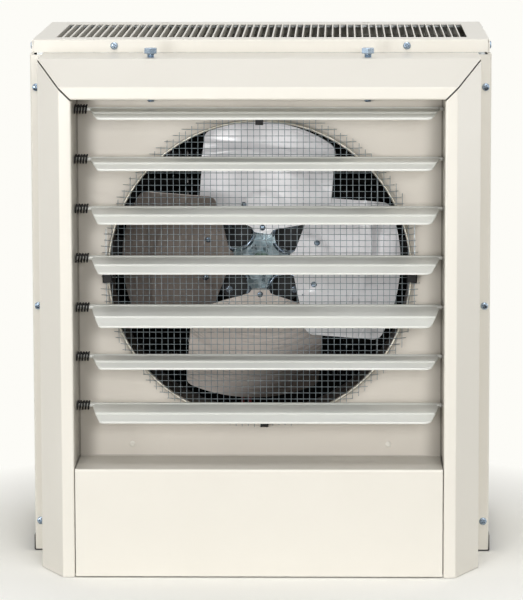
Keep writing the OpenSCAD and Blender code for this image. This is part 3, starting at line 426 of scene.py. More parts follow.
def bent_line(points, radius, steps=5):
    """The outer face of a folded sheet seen on its end: every corner becomes a bend."""
    line = [Vector(points[0])]
    for a, b, c in zip(points, points[1:], points[2:]):
        a, b, c = Vector(a), Vector(b), Vector(c)
        u, w = (a - b).normalized(), (c - b).normalized()
        half = u.angle(w) / 2
        reach = radius / math.tan(half)
        middle = b + (u + w).normalized() * (radius / math.sin(half))
        first, last = b + u * reach - middle, b + w * reach - middle
        line += [middle + first.lerp(last, i / steps).normalized() * radius for i in range(steps + 1)]
    return line + [Vector(points[-1])]


def inner_line(line, thickness):
    """The sheet's other face, to the left of its outer one."""
    moved = []
    for i, p in enumerate(line):
        before = (p - line[i - 1]).normalized() if i else (line[1] - p).normalized()
        after = (line[i + 1] - p).normalized() if i < len(line) - 1 else before
        side = Vector((-before.y - after.y, before.x + after.x)).normalized()
        moved.append(p + side * (thickness / side.dot(Vector((-after.y, after.x)))))
    return moved


def fold(shape, line, thickness, spot, ends):
    """Adds a folded sheet: spot(p, w) places section point p at w along it, ends(p) says where it stops."""
    faces = line, inner_line(line, thickness)
    rows = []
    for face in faces:
        for side in (0, 1):
            rows.append([shape.verts.new(spot(p, ends(p)[side])) for p in face])
    oa, ob, ia, ib = rows
    for i in range(len(line) - 1):
        shape.faces.new((oa[i], oa[i + 1], ob[i + 1], ob[i]))
        shape.faces.new((ib[i], ib[i + 1], ia[i + 1], ia[i]))
        shape.faces.new((oa[i + 1], oa[i], ia[i], ia[i + 1]))
        shape.faces.new((ob[i], ob[i + 1], ib[i + 1], ib[i]))
    shape.faces.new((oa[0], ob[0], ib[0], ia[0]))
    shape.faces.new((ob[-1], oa[-1], ia[-1], ib[-1]))


def plate(shape, lo, hi):
    """Adds a flat plate between two corners."""
    made = bmesh.ops.create_cube(shape, size=1.0)["verts"]
    a, b = at(*lo), at(*hi)
    for v in made:
        v.co = Vector(((a[k] + b[k]) / 2 + v.co[k] * (b[k] - a[k]) for k in range(3)))


def join_rings(shape, rings, closed=False):
    """Fills between rings of points, one after the other. A ring of one point makes a tip."""
    pairs = list(zip(rings, rings[1:])) + ([(rings[-1], rings[0])] if closed else [])
    for a, b in pairs:
        steps = max(len(a), len(b))
        for k in range(steps):
            n = (k + 1) % steps
            corners = [a[k % len(a)], a[n % len(a)], b[n % len(b)], b[k % len(b)]]
            shape.faces.new(list(dict.fromkeys(corners)))


def turned(shape, profile, spot, steps, closed=False):
    """Adds a turned shape. profile gives (radius, way along the axis), spot(r, angle, d) a point's place."""
    rings = []
    for r, d in profile:
        if r < 1e-6:
            rings.append([shape.verts.new(spot(0, 0, d))])
        else:
            rings.append([shape.verts.new(spot(r, 2 * math.pi * k / steps, d)) for k in range(steps)])
    join_rings(shape, rings, closed)


def about_y(cx, cy, cz):
    """Places the points of a turned shape whose axis runs from front to back."""
    return lambda r, a, d: at(cx + r * math.cos(a), cy + d, cz + r * math.sin(a))


def about_z(cx, cy, cz):
    """The same for an upright axis."""
    return lambda r, a, d: at(cx + r * math.cos(a), cy + r * math.sin(a), cz + d)


def about_x(cx, cy, cz):
    """The same for an axis from left to right."""
    return lambda r, a, d: at(cx + d, cy + r * math.cos(a), cz + r * math.sin(a))


# ---------------------------------------------------------------- folded steel


def hood_section():
    """Outer wall, slanted band, strip and inner wall, as (in from the outside, back from the front)."""
    inner = BEVEL_IN + STRIP_W
    return bent_line([(0, CAB_Y), (0, BEVEL_D), (BEVEL_IN, 0), (inner, 0), (inner, CHAMBER_D)], 1.9)


def hood():
    """The hood's top and sides, mitred with a gap at the upper corners, and the lower front plate."""
    section = hood_section()
    mitre_gap, side_gap = 2.1, 0.8
    shape = bmesh.new()
    fold(shape, section, SHEET, lambda p, w: at(w, p.y, HOOD_TOP_Z - p.x),
        lambda p: (-(HOOD_X - p.x), HOOD_X - p.x))
    piece("hood_top_folded", shape, PAINT, nodes=("hood_top",))
    for name, s in (("left", -1), ("right", 1)):
        shape = bmesh.new()
        fold(shape, section, SHEET, lambda p, w: at(s * (HOOD_X - p.x), p.y, w),
            lambda p: (0, HOOD_TOP_Z - p.x - mitre_gap))
        piece(f"hood_side_{name}_folded", shape, PAINT, nodes=(f"hood_side_{name}",))
    # The lower plate turns back over the control space as the sill.
    x = OPEN_X - side_gap
    shape = bmesh.new()
    fold(shape, bent_line([(0, 1), (0, SILL_Z), (CHAMBER_D, SILL_Z)], 2.2), -SHEET,
        lambda p, w: at(w, p.x, p.y), lambda p: (-x, x))
    # Its ends are turned back along the hood's walls.
    for s in (-1, 1):
        fold(shape, bent_line([(s * x, 15), (s * x, 1.35)], 1), -s * SHEET,
            lambda p, w: at(p.x, p.y, w), lambda p: (5.4, SILL_Z - 1.5))
    piece("front_panel_folded", shape, PAINT, nodes=("front_panel",))


def cabinet():
    """The cabinet's two sides and its base."""
    front_flange, rear_flange, base_lip = 20, 18, 16
    outside = bent_line([(SIDE_X - front_flange, CAB_Y), (SIDE_X, CAB_Y), (SIDE_X, BACK_Y - SHEET),
        (SIDE_X - rear_flange, BACK_Y - SHEET)], 2.0)
    top = bent_line([(SIDE_X, 520), (SIDE_X, STEP_Z), (UPSTAND_X - SHEET, STEP_Z)], 1.6)
    for name, s in (("left", -1), ("right", 1)):
        shape = bmesh.new()
        fold(shape, outside, SHEET, lambda p, w: at(s * p.x, p.y, w), lambda p: (SHEET, STEP_Z - 1.4))
        # The side's top is folded in under the lid.
        fold(shape, top[1:], SHEET, lambda p, w: at(s * p.x, w, p.y),
            lambda p: (CAB_Y, BACK_Y - SHEET))
        plate(shape, (s * UPSTAND_X, CAB_Y + SHEET, STEP_Z - 0.6),
            (s * (UPSTAND_X - SHEET), BACK_Y - SHEET, TOP_Z - SHEET - 2.8))
        piece(f"side_panel_{name}_folded", shape, PAINT, nodes=(f"side_panel_{name}",))
    shape = bmesh.new()
    # The base lies under both sides, its lips outside them and sloped at the front.
    w = SIDE_X + SHEET
    fold(shape, bent_line([(-w, base_lip), (-w, 0), (w, 0), (w, base_lip)], 1.8), SHEET,
        lambda p, y: at(p.x, y, p.y), lambda p: (CAB_Y + (SHEET if p.y > 2 else 0) + p.y * 0.12, BACK_Y))
    piece("base_panel_folded", shape, PRIMED, nodes=("base_panel",))


def lid():
    """The lid's border and lips. The slats between its slots are grown apart."""
    shape = bmesh.new()
    x0, x1 = SLOT_X0 - SLOT_W / 2, -SLOT_X0 + SLOT_W / 2
    y0, y1 = CAB_Y - SHEET, BACK_Y + SHEET
    r = 1.8
    low = TOP_Z - LIP_H
    # Front and back margins, each folded down into its lip.
    fold(shape, bent_line([(y0, low), (y0, TOP_Z), (SLOT_Y0, TOP_Z)], r), -SHEET,
        lambda p, w: at(w, p.x, p.y), lambda p: (-LID_X + r, LID_X - r))
    # The rear margin is bored for the two hanging bolts.
    bored = bmesh.new()
    fold(bored, bent_line([(y1, low), (y1, TOP_Z), (SLOT_Y1, TOP_Z)], r), SHEET,
        lambda p, w: at(w, p.x, p.y), lambda p: (-LID_X + r, LID_X - r))
    for s in (-1, 1):
        inner = x1 if s > 0 else x0 - (SLOT_PITCH - SLOT_W)
        line = bent_line([(s * LID_X, low), (s * LID_X, TOP_Z), (inner, TOP_Z)], r)
        # The side margin steps in between the front and the rear one just past its bend.
        line.insert(-1, line[-2] - Vector((s * 0.02, 0)))
        fold(shape, line, s * SHEET, lambda p, w: at(p.x, w, p.y),
            lambda p: (y0 + r, y1 - r) if abs(p.x) > LID_X - r - 0.01 else (SLOT_Y0, SLOT_Y1))
    margin = solid("rear_margin", bored)
    bore = bmesh.new()
    for s in (-1, 1):
        turned(bore, [(0, -5), (4.5, -5), (4.5, 5), (0, 5)], about_z(s * BOLT_X, REAR_BOLT_Y, TOP_Z), 40)
    cut(margin, bore)
    shape.from_mesh(margin.data)
    bpy.data.objects.remove(margin)
    piece("lid_folded", shape, PAINT, nodes=("lid",))


def cut(thing, cutter):
    """Takes the cutter's shape out of a mesh object."""
    tool = solid("cutter", cutter)
    take = thing.modifiers.new("cut", "BOOLEAN")
    take.object = tool
    take.operation = "DIFFERENCE"
    take.solver = "EXACT"
    baked(thing)
    bpy.data.objects.remove(tool)


# ---------------------------------------------------------------- repeated pieces


def new_tree(name, inputs):
    """An empty geometry tree with named inputs. Gives it, its input node and a function to close it."""
    tree = bpy.data.node_groups.new(name, "GeometryNodeTree")
    tree.interface.new_socket("Geometry", in_out="OUTPUT", socket_type="NodeSocketGeometry")
    tree.interface.new_socket("Geometry", in_out="INPUT", socket_type="NodeSocketGeometry")
    for label, kind in inputs.items():
        tree.interface.new_socket(label, in_out="INPUT", socket_type="NodeSocket" + kind)
    tree.interface.new_socket("Finish", in_out="INPUT", socket_type="NodeSocketMaterial")
    source = add(tree, "NodeGroupInput")

    def close(last):
        real = add(tree, "GeometryNodeRealizeInstances", {"Geometry": last})
        dressed = add(tree, "GeometryNodeSetMaterial", {"Geometry": real,
            "Material": source.outputs["Finish"]})
        add(tree, "NodeGroupOutput", {"Geometry": dressed})

    return tree, source, close


def grow(name, tree, values, material, body="cabinet", nodes=(), start=None, sharp=40):
    """Runs a geometry tree once with its inputs set, and keeps the plain mesh that it makes."""
    thing = stand(name, start or bpy.data.meshes.new(name))
    run = thing.modifiers.new("grown", "NODES")
    run.node_group = tree
    for item in tree.interface.items_tree:
        if item.item_type == "SOCKET" and item.in_out == "INPUT" and item.name != "Geometry":
            run[item.identifier] = material if item.name == "Finish" else values[item.name]
    return settle(thing, material, body, nodes, sharp)


def drawn_wire(tree, source, path, sides):
    """Round wire along a curve, as thick as the tree's own input says."""
    radius = add(tree, "ShaderNodeMath", {0: source.outputs["Wire"], 1: 0.5}, operation="MULTIPLY")
    section = add(tree, "GeometryNodeCurvePrimitiveCircle", {"Resolution": sides, "Radius": radius})
    return add(tree, "GeometryNodeCurveToMesh", {"Curve": path, "Profile Curve": section,
        "Fill Caps": True})


def net_tree():
    """Welded net cut to a disc. Past the ring's edge it leans back, and its cut ends are a little ragged."""
    tree, source, close = new_tree("wire_net", {"Radius": "Float", "Overhang": "Float", "Lean": "Float",
        "Pitch": "Float", "Wire": "Float", "Ragged": "Float", "Shift": "Float", "Seed": "Float",
        "Count": "Int"})
    first = add(tree, "ShaderNodeMath", {0: source.outputs["Count"], 1: -0.5, 2: 0.5},
        operation="MULTIPLY_ADD")
    low = add(tree, "ShaderNodeMath", {0: first, 1: source.outputs["Pitch"]}, operation="MULTIPLY")
    rows = add(tree, "GeometryNodeMeshLine", {"Count": source.outputs["Count"],
        "Start Location": add(tree, "ShaderNodeCombineXYZ", {2: low}),
        "Offset": add(tree, "ShaderNodeCombineXYZ", {2: source.outputs["Pitch"]})}, mode="OFFSET")
    # Each wire has four points: its two cut tips and the two bends over the ring's edge.
    strand = add(tree, "GeometryNodeMeshLine", {"Count": 4, "Start Location": (-1.5, 0.0, 0.0),
        "Offset": (1.0, 0.0, 0.0)}, mode="OFFSET")
    spread = add(tree, "GeometryNodeInstanceOnPoints", {"Points": rows, "Instance": strand})
    loose = add(tree, "GeometryNodeRealizeInstances", {"Geometry": spread})
    curve = add(tree, "GeometryNodeMeshToCurve", {"Mesh": loose})
    spot = add(tree, "ShaderNodeSeparateXYZ", {0: add(tree, "GeometryNodeInputPosition")})
    t, z = spot.outputs[0], spot.outputs[2]
    hand = add(tree, "ShaderNodeMath", {0: t}, operation="SIGN")
    length = add(tree, "ShaderNodeMath", {0: t}, operation="ABSOLUTE")
    tip = add(tree, "ShaderNodeMath", {0: length, 1: 1.0}, operation="GREATER_THAN")
    outer = add(tree, "ShaderNodeMath", {0: source.outputs["Radius"], 1: source.outputs["Overhang"]},
        operation="ADD")
    layers = []
    for turn in (0, 1):
        # Half the chord of the ring's edge and of the cut edge at this wire. The cut edge is off centre.
        high = add(tree, "ShaderNodeMath", {0: z, 1: source.outputs["Shift"]}, operation="SUBTRACT")
        chords = []
        for level, radius in ((z, source.outputs["Radius"]), (high, outer)):
            across = add(tree, "ShaderNodeMath", {0: level, 1: radius}, operation="DIVIDE")
            sine = add(tree, "ShaderNodeMath", {0: across}, operation="ARCSINE")
            cosine = add(tree, "ShaderNodeMath", {0: sine}, operation="COSINE")
            chords.append(add(tree, "ShaderNodeMath", {0: cosine, 1: radius}, operation="MULTIPLY"))
        # How far each cut tip falls short is drawn by its side, its row and the seed.
        row = add(tree, "ShaderNodeMath", {0: z, 1: 400.0}, operation="MULTIPLY")
        grid = add(tree, "ShaderNodeCombineXYZ", {0: hand, 1: row, 2: source.outputs["Seed"]})
        chance = add(tree, "ShaderNodeTexWhiteNoise", {"Vector": grid, "W": 1.0 + turn},
            noise_dimensions="4D")
        rag = add(tree, "ShaderNodeMapRange", {"Value": chance.outputs["Value"], "To Min": 0.0,
            "To Max": source.outputs["Ragged"]})
        cut_at = add(tree, "ShaderNodeMath", {0: chords[1], 1: rag}, operation="SUBTRACT")
        past = add(tree, "ShaderNodeMath", {0: cut_at, 1: chords[0]}, operation="SUBTRACT")
        reach = add(tree, "ShaderNodeMath", {0: tip, 1: past, 2: chords[0]}, operation="MULTIPLY_ADD")
        x = add(tree, "ShaderNodeMath", {0: hand, 1: reach}, operation="MULTIPLY")
        level_spot = add(tree, "ShaderNodeCombineXYZ", {0: x, 2: z})
        from_axis = add(tree, "ShaderNodeVectorMath", {0: level_spot}, operation="LENGTH")
        back = add(tree, "ShaderNodeMapRange", {"Value": from_axis.outputs["Value"],
            "From Min": source.outputs["Radius"], "From Max": outer, "To Max": source.outputs["Lean"]})
        y = add(tree, "ShaderNodeMath", {0: source.outputs["Wire"], 1: float(turn), 2: back},
            operation="MULTIPLY_ADD")
        bent = add(tree, "GeometryNodeSetPosition", {"Geometry": curve,
            "Position": add(tree, "ShaderNodeCombineXYZ", {0: x, 1: y, 2: z})})
        layers.append(add(tree, "GeometryNodeTransform", {"Geometry": drawn_wire(tree, source, bent, 6),
            "Rotation": (0.0, math.pi / 2 * turn, 0.0)}))
    join = add(tree, "GeometryNodeJoinGeometry")
    for layer in layers:
        tree.links.new(layer.outputs[0], join.inputs[0])
    close(add(tree, "GeometryNodeTransform", {"Geometry": join,
        "Translation": at(0.6, RING_Y - 1.1, FAN_Z + 0.8)}))
    return tree


def coil_tree():
    """Coil springs in a row: one round wire on a helix, repeated down the wall."""
    tree, source, close = new_tree("coil_spring", {"Turns": "Float", "Radius": "Float", "Length": "Float",
        "Wire": "Float", "Count": "Int", "Spacing": "Float"})
    helix = add(tree, "GeometryNodeCurveSpiral", {"Resolution": 20, "Rotations": source.outputs["Turns"],
        "Start Radius": source.outputs["Radius"], "End Radius": source.outputs["Radius"],
        "Height": source.outputs["Length"]})
    wire = drawn_wire(tree, source, helix, 10)
    laid = add(tree, "GeometryNodeTransform", {"Geometry": wire, "Rotation": (0.0, math.pi / 2, 0.0)})
    row = add(tree, "GeometryNodeMeshLine", {"Count": source.outputs["Count"],
        "Start Location": tuple(at(-OPEN_X + 0.4, PIVOT_Y, PIVOTS[0])),
        "Offset": add(tree, "ShaderNodeCombineXYZ", {2: source.outputs["Spacing"]})}, mode="OFFSET")
    close(add(tree, "GeometryNodeInstanceOnPoints", {"Points": row, "Instance": laid}))
    return tree


def repeat_tree(name):
    """Sets a shape along a straight line at an even pitch."""
    tree, source, close = new_tree(name, {"Shape": "Object", "Count": "Int", "Start": "Vector",
        "Step": "Vector"})
    shape = add(tree, "GeometryNodeObjectInfo", {"Object": source.outputs["Shape"]})
    row = add(tree, "GeometryNodeMeshLine", {"Count": source.outputs["Count"],
        "Start Location": source.outputs["Start"], "Offset": source.outputs["Step"]}, mode="OFFSET")
    close(add(tree, "GeometryNodeInstanceOnPoints", {"Points": row, "Instance": shape.outputs["Geometry"]}))
    return tree


def fastener_tree():
    """Sets a fastener at each point, facing out, its recess turned at random as a fitter leaves it."""
    tree, source, close = new_tree("fasteners", {"Shape": "Object", "Turn": "Float", "Seed": "Int"})
    shape = add(tree, "GeometryNodeObjectInfo", {"Object": source.outputs["Shape"]})
    way = add(tree, "GeometryNodeInputNamedAttribute", {"Name": "facing"}, data_type="FLOAT_VECTOR")
    aim = add(tree, "FunctionNodeAlignRotationToVector", {"Vector": way}, axis="Z")
    spin = add(tree, "FunctionNodeRandomValue", {"Min": 0.0, "Max": source.outputs["Turn"],
        "Seed": source.outputs["Seed"]}, data_type="FLOAT")
    turn = add(tree, "FunctionNodeAxisAngleToRotation", {"Axis": (0.0, 0.0, 1.0), "Angle": spin})
    facing = add(tree, "FunctionNodeRotateRotation", {"Rotation": aim, "Rotate By": turn},
        rotation_space="LOCAL")
    close(add(tree, "GeometryNodeInstanceOnPoints", {"Points": source.outputs["Geometry"],
        "Instance": shape.outputs["Geometry"], "Rotation": facing}))
    return tree


def fin_tree():
    """A strip wound edgewise round a straight element, from the helix of its middle."""
    tree, source, close = new_tree("wound_fin", {"Turns": "Float", "Radius": "Float", "Length": "Float",
        "Width": "Float", "Thickness": "Float"})
    helix = add(tree, "GeometryNodeCurveSpiral", {"Resolution": 14, "Rotations": source.outputs["Turns"],
        "Start Radius": source.outputs["Radius"], "End Radius": source.outputs["Radius"],
        "Height": source.outputs["Length"]})
    upright = add(tree, "GeometryNodeSetCurveNormal", {"Curve": helix}, mode="Z_UP")
    strip = add(tree, "GeometryNodeCurvePrimitiveQuadrilateral", {"Width": source.outputs["Width"],
        "Height": source.outputs["Thickness"]})
    wound = add(tree, "GeometryNodeCurveToMesh", {"Curve": upright, "Profile Curve": strip,
        "Fill Caps": True})
    laid = add(tree, "GeometryNodeTransform", {"Geometry": wound, "Rotation": (0.0, math.pi / 2, 0.0)})
    close(add(tree, "GeometryNodeInstanceOnPoints", {"Points": source.outputs["Geometry"],
        "Instance": laid}))
    return tree


def points(name, spots, facing=None):
    """A mesh of bare points, each with the way that it faces."""
    mesh = bpy.data.meshes.new(name)
    mesh.from_pydata([tuple(p) for p in spots], [], [])
    if facing:
        layer = mesh.attributes.new("facing", "FLOAT_VECTOR", "POINT")
        layer.data.foreach_set("vector", [c for v in facing for c in v])
    return mesh


def local(r, a, d):
    """A point of a fastener that a tree repeats, its axis upright at the origin."""
    return Vector((r * math.cos(a), r * math.sin(a), d)) * MM


def cross_recess(thing, top, reach, width, depth):
    """Sinks a tapered cross into a screw head."""
    for turn in (0, 1):
        tool = bmesh.new()
        made = bmesh.ops.create_cube(tool, size=1.0)["verts"]
        for v in made:
            low = 0.55 if v.co.z < 0 else 1.15
            v.co = Vector((v.co.x * 2 * reach * low, v.co.y * width * (0.8 if v.co.z < 0 else 1.05),
                top + (0.4 if v.co.z > 0 else -depth))) * MM
        bmesh.ops.rotate(tool, verts=tool.verts, matrix=Matrix.Rotation(math.pi / 2 * turn, 3, "Z"))
        cut(thing, tool)


def pan_head(name, radius, height, shank, reach):
    """A pan head tapping screw: domed head with a cross recess, and a bare shank below it."""
    shape = bmesh.new()
    dome = [(radius * math.cos(math.radians(a)) ** 0.55, height * (0.32 + 0.68 * math.sin(math.radians(a))))
        for a in (0, 15, 30, 45, 60, 75)]
    stem = [(0, -reach), (shank * 0.5, -reach + 1), (shank, -reach + 2.4), (shank, 0.02)]
    turned(shape, stem + [(radius * 0.97, 0.02)] + dome + [(0, height)], local, 28)
    thing = solid(name, shape)
    cross_recess(thing, height, radius * 0.56, radius * 0.26, height * 0.75)
    return thing


def hex_ring(shape, bottom, top, hole, spot):
    """Adds a hexagon with its corners chamfered, solid or round a hole."""
    steps, flat = 48, HEX_ACROSS / 2
    rows = []
    corner = []
    for k in range(steps):
        off_flat = (2 * math.pi * k / steps + math.pi / 6) % (math.pi / 3) - math.pi / 6
        corner.append(flat / math.cos(off_flat))
    wide = flat * 0.96
    for level, radii in ((bottom, [hole] * steps if hole else None), (bottom, corner), ("side", corner),
            (top, [wide] * steps), (top, [hole] * steps if hole else None)):
        if radii is None:
            rows.append([shape.verts.new(spot(0, 0, level))])
            continue
        ring = []
        for k, r in enumerate(radii):
            d = top - max(0.0, r - wide) * 0.55 if level == "side" else level
            ring.append(shape.verts.new(spot(r, 2 * math.pi * k / steps, d)))
        rows.append(ring)
    join_rings(shape, rows, closed=hole > 0)


def threaded_rod(shape, radius, low, high, pitch, spot):
    """Adds a rod with a real screw thread, its ends chamfered."""
    steps = 24
    rows = []
    count = int((high - low) / pitch * 6)
    for j in range(count + 1):
        d = low + (high - low) * j / count
        ends = min(d - low, high - d)
        row = []
        for k in range(steps):
            phase = ((d / pitch) - k / steps) % 1.0
            depth = 0.62 * pitch * (abs(phase - 0.5) * 2) ** 0.8
            r = min(radius - depth, radius - 1.1 + ends * 0.9)
            row.append(shape.verts.new(spot(r, 2 * math.pi * k / steps, d)))
        rows.append(row)
    join_rings(shape, rows)
    shape.faces.new(rows[0])
    shape.faces.new(rows[-1])


def fasteners():
    """All screws, the blind rivets and the hanging bolts with their nuts."""
    head = pan_head("pan_head", 4.0, 2.1, 1.7, 5.4)
    # A recess may point any way: this is a full turn in radians.
    full_turn = 6.283
    lip_z, foot_x, foot_y = TOP_Z - LIP_H / 2, OPEN_X + 14, CAB_Y + 2 * SHEET + 3
    front, back = (0, -1, 0), (0, 1, 0)
    lid_places = []
    for s in (-1, 1):
        lid_places.append((at(s * 152, CAB_Y - SHEET, lip_z), front))
        lid_places += [(at(s * LID_X, y, lip_z), (s, 0, 0)) for y in (142, 360)]
    for node, seed, places in (
            ("cabinet_screws", 4, [(at(s * 234, CAB_Y, z), front) for s in (-1, 1) for z in (32, 262, 492)]),
            ("lid_screws", 9, lid_places),
            ("back_screws", 2, [(at(s * 228.8, BACK_Y, z), back) for s in (-1, 1) for z in (40, 271, 498)]),
            ("bracket_screws", 5, [(at(s * foot_x, foot_y, FAN_Z + t * 40 / 3), back)
                for s in (-1, 1) for t in (-1, 1)])):
        grow(node + "_zinc", fastener_tree(), {"Shape": head, "Turn": full_turn, "Seed": seed},
            SCREW_ZINC, nodes=(node,), start=points(node, *zip(*places)))
    bpy.data.objects.remove(head)
    # Domed blind rivets, painted over with the fan panel.
    shape = bmesh.new()
    turned(shape, [(0, -3), (1.5, -3), (1.6, 0.02), (3.1, 0.02), (3.2, 0.25), (2.9, 0.62), (2.1, 0.93),
        (1.0, 1.0), (0.85, 0.72), (0, 0.72)], local, 20)
    dome = solid("blind_rivet", shape)
    spots = [at(s * 133, CHAMBER_D, SILL_Z + 12.5) for s in (-1, 1)]
    grow("panel_rivets_domed", fastener_tree(), {"Shape": dome, "Turn": 0.0, "Seed": 1}, PAINT,
        nodes=("panel_rivets",), start=points("rivets", spots, [(0, -1, 0)] * 2), sharp=50)
    bpy.data.objects.remove(dome)
    shape = bmesh.new()
    for s in (-1, 1):
        spot = about_z(s * BOLT_X, BOLT_Y, HOOD_TOP_Z + 4.5)
        threaded_rod(shape, 4.0, -50, -1.0, 1.25, spot)
        turned(shape, [(0, -1.4), (3.9, -1.4), (4.1, -0.4), (6.6, -0.35), (6.7, 0.05), (0, 0.05)], spot, 36)
        hex_ring(shape, 0, 5.27, 0, spot)
    piece("hanging_bolts_zinc", shape, SCREW_ZINC, nodes=("hanging_bolts",), ease=0, sharp=30)
    shape = bmesh.new()
    for s in (-1, 1):
        hex_ring(shape, 0, 6, 4.05, about_z(s * BOLT_X, BOLT_Y, HOOD_TOP_Z - SHEET - 6))
    piece("hanging_nuts_zinc", shape, SCREW_ZINC, nodes=("hanging_nuts",), ease=0, sharp=30)


def slats():
    """The bars between the lid's slots, each with its flap folded down and in."""
    shape = bmesh.new()
    length = SLOT_Y1 - SLOT_Y0
    line = bent_line([(SLOT_W - SLOT_PITCH, 0), (0.2, 0), (0.9, -7)], 0.9, 4)
    fold(shape, line, -1.0, lambda p, w: Vector((p.x, w, p.y)) * MM,
        lambda p: (0.0, length) if p.y > -0.9 else (1.0, length - 1.0))
    unit = solid("slat", shape)
    grow("lid_slats", repeat_tree("slats"), {"Shape": unit, "Count": SLOT_N,
        "Start": at(SLOT_X0 - SLOT_W / 2, SLOT_Y0, TOP_Z), "Step": (SLOT_PITCH * MM, 0.0, 0.0)},
        PAINT, sharp=30)
    bpy.data.objects.remove(unit)


# ---------------------------------------------------------------- air outlet


def fan_ring():
    """The fan's ring: a rolled bright edge in front, and the throat, dark brown as painted shade, with its
    flange.
    """
    curl = 1.35
    bead = [(RING_R + curl + curl * math.cos(math.radians(a)), curl + curl * math.sin(math.radians(a)))
        for a in range(-190, 75, 22)]
    shape = bmesh.new()
    turned(shape, bead + [(RING_R + 1.0, 4), (RING_R, 4)], about_y(0, RING_Y, FAN_Z), 144, closed=True)
    piece("venturi_ring_bead", shape, BRIGHT_ZINC, nodes=("venturi_ring",), ease=0, sharp=30)
    shape = bmesh.new()
    turned(shape, [(RING_R + 1.0, 4), (RING_R + 1.0, 13.2), (RING_R + 9, 13.2), (RING_R + 9, 14.2),
        (RING_R + 1.0, 14.2), (RING_R + 1.0, 64), (RING_R, 64), (RING_R, 4)],
        about_y(0, RING_Y, FAN_Z), 144, closed=True)
    piece("venturi_ring_throat", shape, SHADED_ZINC, nodes=("venturi_ring",), ease=0, sharp=30)


def clips():
    """Four spring clips that hook the net over the ring and stand on the fan panel."""
    shape = bmesh.new()
    line = bent_line([(RING_R - 3, 61.6), (RING_R - 2, 59.6), (RING_R + 7.6, 59.6),
        (RING_R + 7.6, CHAMBER_D)], 1.4)
    for a in (0.0, math.pi / 2 + 0.045, math.pi - 0.03, math.pi * 1.5 - 0.045):

        def spot(p, w):
            return at(p.x * math.sin(a) + w * math.cos(a), p.y, FAN_Z + p.x * math.cos(a) - w * math.sin(a))

        fold(shape, line, 0.9, spot, lambda p: (-4, 4))
    piece("guard_clips_bent", shape, BLACK_STEEL, nodes=("guard_clips",), ease=0.15)


def louver(i):
    """One louver: a creased blade with a safe edge back and front, slanted ends and its two pivot tabs."""
    left, right = -OPEN_X + 13.7, OPEN_X - 1.2
    tilt, crease = math.radians(TILTS[i]), math.radians(8.5)
    at_crease, lip = (-25, 0.6), 18
    tip = (at_crease[0] - lip * math.cos(crease), at_crease[1] - lip * math.sin(crease))

    def spot(p, x):
        return at(x, PIVOT_Y + p.x * math.cos(tilt) - p.y * math.sin(tilt),
            PIVOTS[i] + p.x * math.sin(tilt) + p.y * math.cos(tilt))

    def ends(p):
        # The ends slant in towards the front, and the front corners are rounded.
        inset = 2 * (p.x - 1.5) / 4.5 if p.x > 1.5 else max(0.0, 12.7 * (-1.5 - p.x) / 42)
        near = p.x - tip[0]
        rounds = [r - math.sqrt(r * r - (r - max(near, 0.0)) ** 2) if near < r else 0.0 for r in (3.0, 5.0)]
        return left + inset + rounds[0], right - inset - rounds[1]

    shape = bmesh.new()
    bend = bent_line([(5, 0.6), at_crease, tip], 4, 4)
    front, edge = bend[-2], bend[-1]
    line = bend[:-1]
    for d in (6, 4, 2.6, 1.5, 0.7, 0.25, 0):
        line.append(edge + (front - edge).normalized() * d)
    fold(shape, line, 1.2, spot, ends)
    # Both long edges are hemmed: the sheet is turned over on itself.
    fold(shape, bent_line([(4.9, 0.5), (4.9, 1.35), (1.6, 1.35)], 0.5, 3), 0.7, spot, ends)
    along = (front - edge).normalized()
    over = Vector((-along.y, along.x))
    fold(shape, bent_line([edge - along * 0.5 - over * 1.2, edge - along * 0.5 + over * 0.8,
        edge + along * 2.6 + over * 0.8], 0.6, 3), -0.7, spot, ends)
    # A bead is pressed along the crease.
    drop, foot = (Vector(tip) - Vector(at_crease)).normalized(), Vector((0, 0.8))
    crest = Vector(at_crease) + Vector((0, 0.75))
    fold(shape, bent_line([crest + Vector((1.9, 0)) - foot, crest, crest + drop * 1.9 - foot], 0.5, 3),
        -0.5, spot, ends)
    for x0, x1 in ((-OPEN_X - 2.0, left + 5), (right - 5, OPEN_X + 2.0)):
        turned(shape, [(0, x0), (1.5, x0), (1.9, x0 + 0.4), (1.9, x1 - 0.4), (1.5, x1), (0, x1)],
            about_x(0, PIVOT_Y, PIVOTS[i]), 16)
    piece(f"louver_{i + 1}_hemmed", shape, LOUVER_PAINT, f"louver_{i + 1}", (f"louver_{i + 1}",), ease=0.12)


# ---------------------------------------------------------------- fan

TIP_R, CAMBER, PITCH, FAN_TURN = 146.5, 230.0, math.radians(20), math.radians(4.3)
BLADE_SHEET, SEAT_RISE = 1.4, 2.2
ROOT_RIVETS = (57, 22.5), (57, -22.5), (35.5, 0)
QUARTERS = [math.pi / 2 * k for k in range(4)]


def tip_x(v):
    """The tips lie on a circle seen from the front."""
    return math.sqrt(TIP_R ** 2 - (v * math.cos(PITCH) + v * v * math.sin(PITCH) / 2 / CAMBER) ** 2)


BLADE = [(34.5, -12), (53, -78), (tip_x(-78), -78)] + [(tip_x(v), v) for v in range(-63, 64, 9)] \
    + [(tip_x(70), 70), (51, 70), (34.5, 12), (29.5, 9), (29.5, -9)]
BLADE_CORNERS = [2, 9, 11] + [0] * 15 + [8, 9, 2, 3, 3]


def rounded_outline(corners, radii):
    """A closed outline with each corner rounded to its own radius."""
    line = []
    n = len(corners)
    for i in range(n):
        a, b, c = (Vector(corners[(i + k) % n]) for k in (-1, 0, 1))
        line += bent_line([a, b, c], radii[i], 8)[1:-1] if radii[i] else [b]
    return line


def span(outline, x):
    """Lowest and highest point of the outline at x."""
    cuts = []
    for a, b in zip(outline, outline[1:] + outline[:1]):
        if (a.x - x) * (b.x - x) <= 0 and a.x != b.x:
            cuts.append(a.y + (b.y - a.y) * (x - a.x) / (b.x - a.x))
    return min(cuts), max(cuts)


